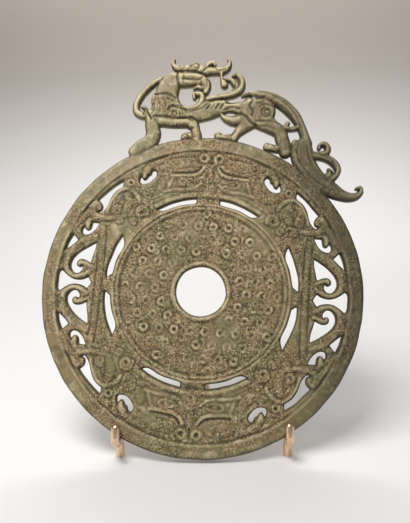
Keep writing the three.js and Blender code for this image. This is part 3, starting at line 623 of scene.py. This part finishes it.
        # How far each spot stands above the jade round it.
        solid = (self.edge < 0.3).astype(float)
        around = blurred(self.height * solid, 5) / np.maximum(blurred(solid, 5), 1e-3)
        self.proud = self.height - around

    def at(self, field, points):
        """A raster's values at points, by linear interpolation."""
        u = np.clip((points[:, 0] - self.x[0]) / RASTER, 0, len(self.x) - 1.001)
        v = np.clip((points[:, 1] - self.y[0]) / RASTER, 0, len(self.y) - 1.001)
        i, j = v.astype(int), u.astype(int)
        a, b = v - i, u - j
        low = field[i, j] * (1 - b) + field[i, j + 1] * b
        high = field[i + 1, j] * (1 - b) + field[i + 1, j + 1] * b
        return low * (1 - a) + high * a


def grit(shape, reach, seed):
    """Seeded random bumps of unit size, a few cells across."""
    field = blurred(np.random.RandomState(seed).standard_normal(shape), reach)
    return field / field.std()


def blurred(field, reach):
    """Box blur over a window of cells, twice each way."""
    width = 2 * reach + 1
    for axis in (0, 1, 0, 1):
        pad = [(0, 0), (0, 0)]
        pad[axis] = (reach + 1, reach)
        total = np.cumsum(np.pad(field, pad, mode="edge"), axis=axis)
        if axis == 0:
            field = (total[width:] - total[:-width]) / width
        else:
            field = (total[:, width:] - total[:, :-width]) / width
    return field


# ---- From the height field to a mesh ----

def contours(plate):
    """Closed loops of points along the jade's edge, with the jade on their left."""
    field = plate.edge
    inside = field < 0
    count = inside[:-1, :-1].astype(int) + inside[1:, :-1] + inside[:-1, 1:] + inside[1:, 1:]
    onward, spots = {}, {}

    def crossing(a, b):
        a, b = min(a, b), max(a, b)
        fa, fb = field[a], field[b]
        t = fa / (fa - fb)
        spots[a, b] = (
            plate.x[a[1]] + t * (plate.x[b[1]] - plate.x[a[1]]),
            plate.y[a[0]] + t * (plate.y[b[0]] - plate.y[a[0]]),
        )
        return a, b

    for i, j in zip(*np.nonzero((count > 0) & (count < 4))):
        corners = [(i, j), (i, j + 1), (i + 1, j + 1), (i + 1, j)]
        held = [inside[c] for c in corners]
        for k in range(4):
            if held[k] and not held[(k + 1) % 4]:
                m = (k + 1) % 4
                while not held[(m + 1) % 4]:
                    m = (m + 1) % 4
                leaving = crossing(corners[k], corners[(k + 1) % 4])
                onward[leaving] = crossing(corners[m], corners[(m + 1) % 4])
    loops = []
    while onward:
        start = next(iter(onward))
        loop, spot = [], start
        while spot in onward:
            loop.append(spots[spot])
            spot = onward.pop(spot)
        loops.append(np.array(loop))
    return loops


def respaced(loop, pitch):
    """A closed loop with even spacing, its raster steps smoothed out."""
    for _ in range(2):
        loop = (np.roll(loop, 1, axis=0) + 2 * loop + np.roll(loop, -1, axis=0)) / 4
    ring = np.vstack([loop, loop[:1]])
    run = np.concatenate([[0], np.cumsum(np.linalg.norm(np.diff(ring, axis=0), axis=1))])
    stops = np.linspace(0, run[-1], max(round(run[-1] / pitch), 8), endpoint=False)
    return np.stack([np.interp(stops, run, ring[:, k]) for k in (0, 1)], axis=1)


def hex_points(pitch):
    """Points in a hexagonal grid over the whole drawing."""
    x, y = np.meshgrid(np.arange(-95, 95, pitch), np.arange(-93, 144, pitch * math.sin(math.pi / 3)))
    x[1::2] += pitch / 2
    return np.stack([x.ravel(), y.ravel()], axis=1)


def ring_points(radii, pitch):
    """Points on circles, so that turned rings keep clean edges."""
    rings = []
    for k, radius in enumerate(radii):
        count = round(2 * math.pi * radius / pitch)
        angles = (np.arange(count) + 0.5 * (k % 2)) * 2 * math.pi / count
        rings.append(np.stack([radius * np.cos(angles), radius * np.sin(angles)], axis=1))
    return np.vstack(rings)


BANDS = [(14.5, 18.6), (45.2, 50.8), (79.6, 89.4)]  # radii of the turned rings
BAND_STEP = 0.52  # between their circles of points


def front_points(plate, pitch):
    """The front's mesh points: circles of them in the turned rings, an even grid elsewhere."""
    free = hex_points(pitch)
    radius = np.hypot(free[:, 0], free[:, 1])
    keep = plate.at(plate.edge, free) < -0.5 * pitch
    on_dragon = plate.at(plate.edge_dragon, free) < 0
    for low, high in BANDS:
        keep &= (radius < low - 0.3) | (radius > high + 0.3) | on_dragon
    turned = [free[keep]]
    for low, high in BANDS:
        rings = ring_points(np.arange(low, high, BAND_STEP), pitch * 1.25)
        keep = (plate.at(plate.edge, rings) < -0.5 * pitch) & (plate.at(plate.edge_dragon, rings) > 0.25)
        turned.append(rings[keep])
    return np.vstack(turned)


def sheet(plate, loops, inner):
    """Triangles that fill the loops, through the inner points. The loops' points come first."""
    edges, start = [], 0
    for loop in loops:
        count = len(loop)
        edges += [(start + k, start + (k + 1) % count) for k in range(count)]
        start += count
    points = np.vstack([*loops, inner])
    found, _, faces, *_ = delaunay_2d_cdt([Vector(p) for p in points], edges, [], 0, 1e-6, False)
    found = np.array(found)
    faces = np.array(faces)
    middle = found[faces].mean(axis=1)
    return found, faces[plate.at(plate.edge, middle) < 0]


def edges_in(geometry):
    return [g for g in geometry if isinstance(g, bmesh.types.BMEdge)]


def lay(bm, points, heights, faces):
    """Adds a sheet's triangles to the mesh."""
    verts = [bm.verts.new((x, y, z)) for (x, y), z in zip(points, heights)]
    for face in faces:
        bm.faces.new([verts[k] for k in face])


def jade_sheets(plate):
    """One bmesh with the front and the back face, walled together."""
    loops = [respaced(loop, EDGE_PITCH) for loop in contours(plate) if len(loop) > 12]
    bm = bmesh.new()
    front, faces = sheet(plate, loops, front_points(plate, FRONT_PITCH))
    lay(bm, front, plate.at(plate.height, front), faces)
    rim = [e for e in bm.edges if e.is_boundary]
    # The wall: a worn arris, then straight down to the back.
    depths = [-0.4, -BACK + 0.35, -BACK + 0.02]
    for depth in depths:
        grown = bmesh.ops.extrude_edge_only(bm, edges=rim)["geom"]
        rim = edges_in(grown)
        for v in {v for e in rim for v in e.verts}:
            v.co.z = depth
    inner = hex_points(BACK_PITCH)
    inner = inner[plate.at(plate.edge, inner) < -0.6 * BACK_PITCH]
    back, faces = sheet(plate, loops, inner)
    radius = np.hypot(back[:, 0], back[:, 1])
    count = sum(len(loop) for loop in loops)
    depth = np.full(len(back), -BACK) - 0.35 * smooth(radius, RIM_INNER - 1, RIM_INNER + 1)
    depth += 0.05 * ripple(back[:, 0], back[:, 1], 14, seed=21)
    depth[plate.at(plate.edge_dragon, back) < -0.4] = -DRAGON_BACK
    depth[:count] = depths[-1]
    lay(bm, back, depth, faces[:, ::-1])
    seam = [v for v in bm.verts if v.is_boundary]
    bmesh.ops.remove_doubles(bm, verts=seam, dist=0.02)
    return bm


def linked(name, data):
    thing = bpy.data.objects.new(name, data)
    bpy.context.scene.collection.objects.link(thing)
    return thing


def smooth_object(name, bm, material):
    """An object with the finished mesh, shaded smooth."""
    mesh = bpy.data.meshes.new(name)
    bm.to_mesh(mesh)
    bm.free()
    mesh.materials.append(material)
    mesh.polygons.foreach_set("use_smooth", [True] * len(mesh.polygons))
    return linked(name, mesh)


def finished(name, bm, body_nodes, material, sharp):
    """A piece in metres that rides on the frame in place of its CAD nodes."""
    piece = smooth_object(name, bm, material)
    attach(piece, "root")
    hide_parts(*body_nodes)
    piece.data.set_sharp_from_angle(angle=math.radians(sharp))


# ---- Materials ----

class Recipe:
    """A material's node tree, with short ways to add nodes."""

    def __init__(self, name):
        self.material = bpy.data.materials.new(name)
        self.material.use_nodes = True
        self.tree = self.material.node_tree
        self.shader = self.tree.nodes["Principled BSDF"]
        self.place = self.add("TexCoord").outputs["Object"]

    def add(self, kind, settings=None, **inputs):
        node = self.tree.nodes.new("ShaderNode" + kind)
        for key, value in (settings or {}).items():
            setattr(node, key, value)
        for key, value in inputs.items():
            self.put(node.inputs[key.replace("_", " ")], value)
        return node

    def put(self, socket, value):
        if isinstance(value, bpy.types.NodeSocket):
            self.tree.links.new(value, socket)
        else:
            socket.default_value = value

    def shade(self, **inputs):
        """Sets or links the shader's own sockets."""
        for key, value in inputs.items():
            self.put(self.shader.inputs[key.replace("_", " ")], value)

    def noise(self, scale, detail, roughness, seed, distortion=0.0):
        shift = (seed, seed * 1.7, seed * 0.6)
        shifted = self.add("Mapping", Vector=self.place, Location=shift).outputs["Vector"]
        node = self.add("TexNoise", Vector=shifted, Scale=scale, Detail=detail, Roughness=roughness,
                        Distortion=distortion)
        return node.outputs["Fac"]

    def ramp(self, value, low, high):
        """From 0 to 1 with eased ends as a value goes from low to high."""
        eased = {"interpolation_type": "SMOOTHSTEP"}
        node = self.add("MapRange", eased, Value=value, From_Min=low, From_Max=high)
        return node.outputs["Result"]

    def mix(self, amount, first, second, blend="MIX"):
        node = self.add("Mix", {"data_type": "RGBA", "blend_type": blend})
        self.put(node.inputs[0], amount)
        self.put(node.inputs[6], first)
        self.put(node.inputs[7], second)
        return node.outputs[2]

    def math(self, operation, first, second):
        node = self.add("Math", {"operation": operation})
        self.put(node.inputs[0], first)
        self.put(node.inputs[1], second)
        return node.outputs["Value"]

    def tint(self, colour, mask, amount, paint):
        """A colour with a paint laid over it where the mask says, by an amount."""
        return self.mix(self.math("MULTIPLY", mask, amount), colour, paint)

    def attribute(self, name):
        return self.add("Attribute", {"attribute_name": name}).outputs["Fac"]


SIDE_SHADE_TINT = (0.22, 0.23, 0.18, 1)  # what the colour is multiplied by where painted shade darkens one side
SIDE_SHADE_WAY = 0.2  # the way that the painted shade deepens, in radians up from straight right


def jade_material(settings):
    recipe = Recipe("jade")
    olive, brown, green = (*settings.olive, 1), (*settings.brown, 1), (*settings.green, 1)
    cream, earth = (*settings.cream, 1), (*settings.earth, 1)
    rough_skin = recipe.attribute("rough")
    # Clean olive stone where it is smooth, brown and pinkish patches where it has decayed.
    clouds = recipe.ramp(recipe.noise(60, 5, 0.6, 2.0, 0.6), 0.38, 0.62)
    colour = recipe.mix(clouds, olive, brown)
    clean = recipe.ramp(rough_skin, 0.75, 0.2)
    colour = recipe.tint(colour, clean, 0.6, green)
    # Cream crumbs and dark pits, from half a millimetre to a few.
    speckled = recipe.ramp(rough_skin, 0.1, 0.85)
    crumbs = recipe.ramp(recipe.noise(1150, 3, 0.65, 5.0), 0.53, 0.6)
    crumbs = recipe.math("MULTIPLY", crumbs, speckled)
    pits = recipe.ramp(recipe.noise(900, 3, 0.65, 9.0), 0.52, 0.6)
    pits = recipe.math("MULTIPLY", pits, speckled)
    blotches = recipe.ramp(recipe.noise(230, 5, 0.65, 12.0, 0.6), 0.5, 0.68)
    stains = recipe.ramp(recipe.noise(200, 5, 0.65, 15.0, 0.6), 0.5, 0.68)
    colour = recipe.tint(colour, blotches, 0.45, cream)
    colour = recipe.tint(colour, stains, 0.6, earth)
    colour = recipe.tint(colour, crumbs, 0.66, cream)
    colour = recipe.tint(colour, pits, 0.88, earth)
    # Earth and painted shade in the hollows; wear and a painted highlight, in cream, on what stands proud.
    hollow = recipe.ramp(recipe.attribute("hollow"), 0.05, 0.85)
    colour = recipe.tint(colour, hollow, 0.8, earth)
    # Painted highlight, partly real wear: the ridges that stand proud turn pale cream.
    crumbled = recipe.math("MULTIPLY", crumbs, 0.4)
    worn = recipe.ramp(recipe.math("ADD", recipe.attribute("proud"), crumbled), 0.4, 1.4)
    colour = recipe.tint(colour, worn, 0.6, cream)
    # Painted shade: the right side of the disc, its rim most of all, is darkened as if less lit.
    painted_shade = recipe.math("MULTIPLY", recipe.attribute("side_shade"), 0.78)
    colour = recipe.mix(painted_shade, colour, SIDE_SHADE_TINT, "MULTIPLY")
    grainy = recipe.math("ADD", recipe.noise(320, 4, 0.6, 4.0), speckled)
    rough = recipe.add("MapRange", Value=grainy, From_Min=0.3, From_Max=1.5, To_Min=0.3, To_Max=0.75)
    relief = recipe.math("SUBTRACT", crumbs, pits)
    relief = recipe.math("ADD", relief, recipe.noise(2400, 3, 0.6, 8.0))
    bump = recipe.add("Bump", Height=relief, Strength=0.7, Distance=0.0004)
    recipe.shade(Base_Color=colour, Roughness=rough.outputs["Result"], Normal=bump.outputs["Normal"])
    recipe.shade(IOR=1.6, Specular_IOR_Level=0.35)
    return recipe.material


def brass_material(settings):
    recipe = Recipe("brass")
    tint = (*settings.tint, 1)
    dull = (*settings.tarnish, 1)
    worn = recipe.ramp(recipe.noise(180, 5, 0.6, 1.0), 0.45, 0.75)
    colour = recipe.mix(worn, tint, dull)
    rough = recipe.add("MapRange", Value=recipe.noise(700, 4, 0.6, 6.0), To_Min=0.16, To_Max=0.34)
    scratches = recipe.noise(1500, 3, 0.6, 2.0)
    bump = recipe.add("Bump", Height=scratches, Strength=0.12, Distance=0.0001)
    recipe.shade(Base_Color=colour, Roughness=rough.outputs["Result"], Normal=bump.outputs["Normal"])
    recipe.shade(Metallic=1.0)
    return recipe.material


# ---- The stand's rods ----

def bent(corners, radius):
    """A path through corners, each rounded by an arc."""
    path = [corners[0]]
    for a, b, c in zip(corners, corners[1:], corners[2:]):
        into, away = (b - a).normalized(), (c - b).normalized()
        turn = into.angle(away)
        setback = radius * math.tan(turn / 2)
        centre = b + (away - into).normalized() * radius / math.cos(turn / 2)
        axis = into.cross(away).normalized()
        arm = b - into * setback - centre
        for k in range(BEND_STEPS + 1):
            path.append(centre + Matrix.Rotation(turn * k / BEND_STEPS, 3, axis) @ arm)
    return path + [corners[-1]]


def rod(path, radius, domes=(False, False), floor_cut=False):
    """A round rod along a path, made by extruding a circle from stop to stop, its ends flat or domed."""
    bm = bmesh.new()
    stops = [(p, 1.0) for p in path]
    for end, dome in zip((0, -1), domes):
        if dome:
            here = path[end]
            out = (here - path[1 if end == 0 else -2]).normalized()
            cap = []
            for k in range(1, 8):
                angle = k * math.pi / 16
                cap.append((here + out * radius * math.sin(angle), math.cos(angle)))
            stops = cap[::-1] + stops if end == 0 else stops + cap
    headings = []
    for k in range(len(stops)):
        before, after = stops[max(k - 1, 0)][0], stops[min(k + 1, len(stops) - 1)][0]
        headings.append((after - before).normalized())
    turn = Vector((0, 0, 1)).rotation_difference(headings[0])
    made = bmesh.ops.create_circle(bm, segments=ROD_SIDES, radius=radius)
    ring = made["verts"]
    bmesh.ops.transform(bm, matrix=Matrix.Scale(stops[0][1], 4), verts=ring)
    bmesh.ops.transform(bm, matrix=Matrix.Translation(stops[0][0]) @ turn.to_matrix().to_4x4(), verts=ring)
    edges = list({e for v in ring for e in v.link_edges})
    ends = [list(edges)]
    for k in range(1, len(stops)):
        grown = bmesh.ops.extrude_edge_only(bm, edges=edges)["geom"]
        ring = [g for g in grown if isinstance(g, bmesh.types.BMVert)]
        edges = edges_in(grown)
        swing = headings[k - 1].rotation_difference(headings[k]).to_matrix().to_4x4()
        size = Matrix.Scale(stops[k][1] / stops[k - 1][1], 4)
        move = Matrix.Translation(stops[k][0]) @ swing @ size @ Matrix.Translation(-stops[k - 1][0])
        bmesh.ops.transform(bm, matrix=move, verts=ring)
    ends.append(edges)
    for loop in ends:
        bmesh.ops.edgeloop_fill(bm, edges=loop)
    if floor_cut:
        whole = bm.verts[:] + bm.edges[:] + bm.faces[:]
        cut = bmesh.ops.bisect_plane(bm, geom=whole, plane_co=(0, 0, 0), plane_no=(0, 0, 1),
                                     clear_inner=True)["geom_cut"]
        bmesh.ops.edgeloop_fill(bm, edges=edges_in(cut))
    bmesh.ops.recalc_face_normals(bm, faces=bm.faces)
    return bm


def leaning(across, up, out):
    """A spot given in the leaning plane, in the floor's frame."""
    return LEANING @ Vector((across, up, out))


# Where the rods run, in the leaning plane.
CRADLE_REACH = DISC_RADIUS + FIT_GAP + ROD_RADIUS
CRADLE_LEVEL = -math.sqrt(CRADLE_REACH ** 2 - PRONG_SPREAD ** 2)
ROD_OUT = RELIEF_TOP + FIT_GAP + ROD_RADIUS
BAR_LEVEL = CRADLE_LEVEL + 2 * ROD_RADIUS + FIT_GAP
UPRIGHT_OUT = -(RELIEF_TOP + FIT_GAP + UPRIGHT_RADIUS)


def side_rod(across):
    tip = leaning(across, CRADLE_LEVEL + PRONG_RISE - ROD_RADIUS, ROD_OUT)
    knee = leaning(across, CRADLE_LEVEL, ROD_OUT)
    heel = leaning(across, CRADLE_LEVEL, -ROD_OUT)
    sole = Vector((heel.x, heel.y, 0))
    return rod(bent([tip, knee, heel, sole], BEND_RADIUS), ROD_RADIUS, (True, False))


def cross_bar():
    end = PRONG_SPREAD + ROD_RADIUS / 2
    ends = [leaning(across, BAR_LEVEL, -ROD_OUT) for across in (-end, end)]
    return rod(ends, ROD_RADIUS, (True, True))


def upright():
    low = leaning(0, BAR_LEVEL + ROD_RADIUS - UPRIGHT_SINK, UPRIGHT_OUT)
    return rod([low, leaning(0, REST_TOP, UPRIGHT_OUT)], UPRIGHT_RADIUS, (False, True))


def rear_leg():
    high = leaning(0, REST_TOP - LEG_DROP, UPRIGHT_OUT)
    low = Vector((CENTRE.x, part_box("rear_leg")[1].y / MM - REAR_FOOT_HALF, 0))
    out = (low - high).normalized()
    ends = [high + out * UPRIGHT_RADIUS, low + out * 2 * UPRIGHT_RADIUS]
    return rod(ends, UPRIGHT_RADIUS, floor_cut=True)


# ---- What a user can change ----

class JadeSettings(bpy.types.PropertyGroup):
    grain_pitch: FloatProperty(name="Grain spacing", description="Distance between the raised grains",
                               default=0.0085, min=0.006, max=0.014, unit="LENGTH", subtype="DISTANCE")
    olive: FloatVectorProperty(name="Olive", description="Colour of the plain jade", subtype="COLOR",
                               default=(0.2, 0.17, 0.065), min=0, max=1)
    green: FloatVectorProperty(name="Green", description="Colour of the clean, smooth jade", subtype="COLOR",
                               default=(0.205, 0.176, 0.075), min=0, max=1)
    brown: FloatVectorProperty(name="Brown", description="Colour of the altered jade", subtype="COLOR",
                               default=(0.29, 0.185, 0.085), min=0, max=1)
    # On the ridges this cream is partly wear and partly painted highlight.
    cream: FloatVectorProperty(name="Cream", description="Colour of the whitened crumbs and ridges",
                               subtype="COLOR", default=(0.72, 0.6, 0.37), min=0, max=1)
    # Besides stains and pits, this colour fills the hollows, where it is partly earth and partly painted shade.
    earth: FloatVectorProperty(name="Earth", description="Colour of the earth in the carving",
                               subtype="COLOR", default=(0.05, 0.037, 0.015), min=0, max=1)


class BrassSettings(bpy.types.PropertyGroup):
    tint: FloatVectorProperty(name="Tint", description="Colour of the polished rod", subtype="COLOR",
                              default=(0.82, 0.58, 0.4), min=0, max=1)
    tarnish: FloatVectorProperty(name="Tarnish", description="Colour where the rod has dulled",
                                 subtype="COLOR", default=(0.55, 0.38, 0.25), min=0, max=1)


class StageSettings(bpy.types.PropertyGroup):
    floor_colour: FloatVectorProperty(name="Floor", description="Colour of the paper on the floor",
                                      subtype="COLOR", default=(0.7, 0.695, 0.685), min=0, max=1)
    # Painted shade: the paper is painted this darker colour high on the wall, where less light reaches it.
    painted_wall_shade: FloatVectorProperty(name="Wall", description="Colour of the paper high on the wall",
                                     subtype="COLOR", default=(0.27, 0.236, 0.208), min=0, max=1)
    softbox: FloatProperty(name="Softbox", description="Power of the light overhead, in watts",
                           default=4.4, min=0, unit="POWER")
    wash: FloatProperty(name="Wall wash", description="Power of the light on the paper behind, in watts",
                        default=13.0, min=0, unit="POWER")
    distance: FloatProperty(name="Camera distance", description="From the camera to the middle of the disc",
                            default=0.2695, min=0.1, unit="LENGTH", subtype="DISTANCE")


class OBJECT_OT_carve_jade(bpy.types.Operator):
    """Carve the jade disc with its openings, relief and dragon"""

    bl_idname = "object.bi_carve_jade"
    bl_label = "Carve the Jade"

    def execute(self, context):
        settings = context.scene.bi_jade
        plate = Plate()
        bm = jade_sheets(plate)
        places = np.array([v.co[:] for v in bm.verts])
        standing = plate.at(plate.proud, places)
        standing[places[:, 2] < 0] = 0
        radius = np.hypot(places[:, 0], places[:, 1])
        # Painted shade: darker towards the right, and most of all on the outer zone and rim.
        across = places[:, 0] * math.cos(SIDE_SHADE_WAY) + places[:, 1] * math.sin(SIDE_SHADE_WAY)
        outward = 0.2 + 0.4 * smooth(radius, 48, 54) + 0.4 * smooth(radius, 80, 83)
        marks = {
            # how deep a spot lies below its surroundings, coloured as earth and painted shade
            "hollow": np.maximum(-standing / 0.4, 0),
            # how far a spot stands above its surroundings, coloured as wear and painted highlight
            "proud": np.maximum(standing / 0.35, 0),
            "rough": plate.at(plate.rough, places),
            "side_shade": smooth(across, 15, 85) * outward,
        }
        for name, values in marks.items():
            layer = bm.verts.layers.float.new(name)
            for v, value in zip(bm.verts, values):
                v[layer] = value
        bmesh.ops.transform(bm, matrix=TO_METRES @ DRAWN, verts=bm.verts)
        finished("jade_carving", bm, ["jade_disc"], jade_material(settings), sharp=52)
        return {"FINISHED"}


class OBJECT_OT_bend_stand(bpy.types.Operator):
    """Bend and join the stand's brass rods"""

    bl_idname = "object.bi_bend_stand"
    bl_label = "Bend the Stand"

    def execute(self, context):
        material = brass_material(context.scene.bi_brass)
        rods = {
            "side_rod_left": side_rod(-PRONG_SPREAD),
            "side_rod_right": side_rod(PRONG_SPREAD),
            "cross_bar": cross_bar(),
            "upright": upright(),
            "rear_leg": rear_leg(),
        }
        for node, bm in rods.items():
            bmesh.ops.transform(bm, matrix=TO_METRES, verts=bm.verts)
            finished("brass_" + node, bm, [node], material, sharp=40)
        return {"FINISHED"}


def softbox(name, place, target, size, power):
    """A rectangular light of some watts that faces its target."""
    data = bpy.data.lights.new(name, "AREA")
    data.shape = "RECTANGLE"
    data.size, data.size_y = size
    data.energy = power
    light = linked(name, data)
    light.location = place
    light.rotation_euler = (Vector(target) - Vector(place)).to_track_quat("-Z", "Y").to_euler()


CAMERA_OFFSET = Vector((0.012384, -0.261872, 0.062355))  # from the disc's middle to the camera
CAMERA_REACH = 0.26948  # the offset's length
CAMERA_TURN = (80.182, 1.436, 1.845)  # degrees
LENS = 33.04  # millimetres
WALL_START = 0.7  # where the paper leaves the floor
WALL_CURVE = 0.45  # radius of its curve, in metres
PAPER_FRONT = -1.2
PAPER_TOP = 2.5
PAPER_HALF = 2.0
GRADE_START = -0.12  # heights between which painted shade darkens the paper
GRADE_END = 0.62


class OBJECT_OT_set_stage(bpy.types.Operator):
    """Lay the paper sweep and place the softboxes and the camera"""

    bl_idname = "object.bi_set_stage"
    bl_label = "Set the Stage"

    def execute(self, context):
        settings = context.scene.bi_stage
        middle = CENTRE * MM
        self.sweep(settings)
        softbox("overhead", (-0.16, -0.22, 0.66), middle, (0.34, 0.24), settings.softbox)
        softbox("left fill", (-0.7, -0.5, 0.3), middle, (0.5, 0.5), 0.5)
        softbox("wall wash", (0, 0.72, 1.0), (0, 1, 0), (1.6, 0.4), settings.wash)
        world = bpy.data.worlds.new("studio")
        world.use_nodes = True
        background = world.node_tree.nodes["Background"]
        background.inputs["Color"].default_value = (1, 1, 1, 1)
        background.inputs["Strength"].default_value = 0.3
        context.scene.world = world
        lens = bpy.data.cameras.new("camera")
        lens.lens = LENS
        lens.clip_start = 0.01
        camera = linked("camera", lens)
        camera.location = middle + CAMERA_OFFSET * (settings.distance / CAMERA_REACH)
        camera.rotation_euler = [math.radians(a) for a in CAMERA_TURN]
        context.scene.camera = camera
        context.scene.view_settings.view_transform = "Standard"
        return {"FINISHED"}

    def sweep(self, settings):
        """A paper floor that curves up behind, with painted shade that darkens it up the wall."""
        bm = bmesh.new()
        front = [bm.verts.new((x, PAPER_FRONT, 0)) for x in (-PAPER_HALF, PAPER_HALF)]
        edges = [bm.edges.new(front)]
        turns = np.linspace(0, math.pi / 2, 40)
        stops = [(WALL_START + WALL_CURVE * math.sin(a), WALL_CURVE * (1 - math.cos(a))) for a in turns]
        for y, z in [*stops, (WALL_START + WALL_CURVE, PAPER_TOP)]:
            grown = bmesh.ops.extrude_edge_only(bm, edges=edges)["geom"]
            edges = edges_in(grown)
            for v in edges[0].verts:
                v.co.y, v.co.z = y, z
        bmesh.ops.recalc_face_normals(bm, faces=bm.faces)
        recipe = Recipe("paper")
        height = recipe.add("SeparateXYZ", Vector=recipe.place).outputs["Z"]
        # Painted shade: the paper darkens from the floor's colour to the wall's as it rises.
        up = recipe.ramp(height, GRADE_START, GRADE_END)
        light, painted_shade = (*settings.floor_colour, 1), (*settings.painted_wall_shade, 1)
        recipe.shade(Base_Color=recipe.mix(up, light, painted_shade), Roughness=0.9)
        floor = smooth_object("sweep", bm, recipe.material)


class VIEW3D_PT_bi_disc(bpy.types.Panel):
    bl_label = "Bi Disc"
    bl_idname = "VIEW3D_PT_bi_disc"
    bl_space_type = "VIEW_3D"
    bl_region_type = "UI"
    bl_category = "Bi Disc"

    def draw(self, context):
        scene = context.scene
        for operator, settings in (
            (OBJECT_OT_set_stage, scene.bi_stage),
            (OBJECT_OT_carve_jade, scene.bi_jade),
            (OBJECT_OT_bend_stand, scene.bi_brass),
        ):
            box = self.layout.box()
            box.operator(operator.bl_idname)
            for name in settings.__annotations__:
                box.prop(settings, name)


GROUPS = {"bi_jade": JadeSettings, "bi_brass": BrassSettings, "bi_stage": StageSettings}
OPERATORS = [OBJECT_OT_set_stage, OBJECT_OT_carve_jade, OBJECT_OT_bend_stand]
CLASSES = [*GROUPS.values(), *OPERATORS, VIEW3D_PT_bi_disc]


def register():
    for cls in CLASSES:
        bpy.utils.register_class(cls)
    for name, group in GROUPS.items():
        setattr(bpy.types.Scene, name, PointerProperty(type=group))


def unregister():
    for name in GROUPS:
        delattr(bpy.types.Scene, name)
    for cls in reversed(CLASSES):
        bpy.utils.unregister_class(cls)


def main():
    register()
    bpy.ops.object.bi_set_stage()
    bpy.ops.object.bi_carve_jade()
    bpy.ops.object.bi_bend_stand()


if __name__ == "__main__":
    main()
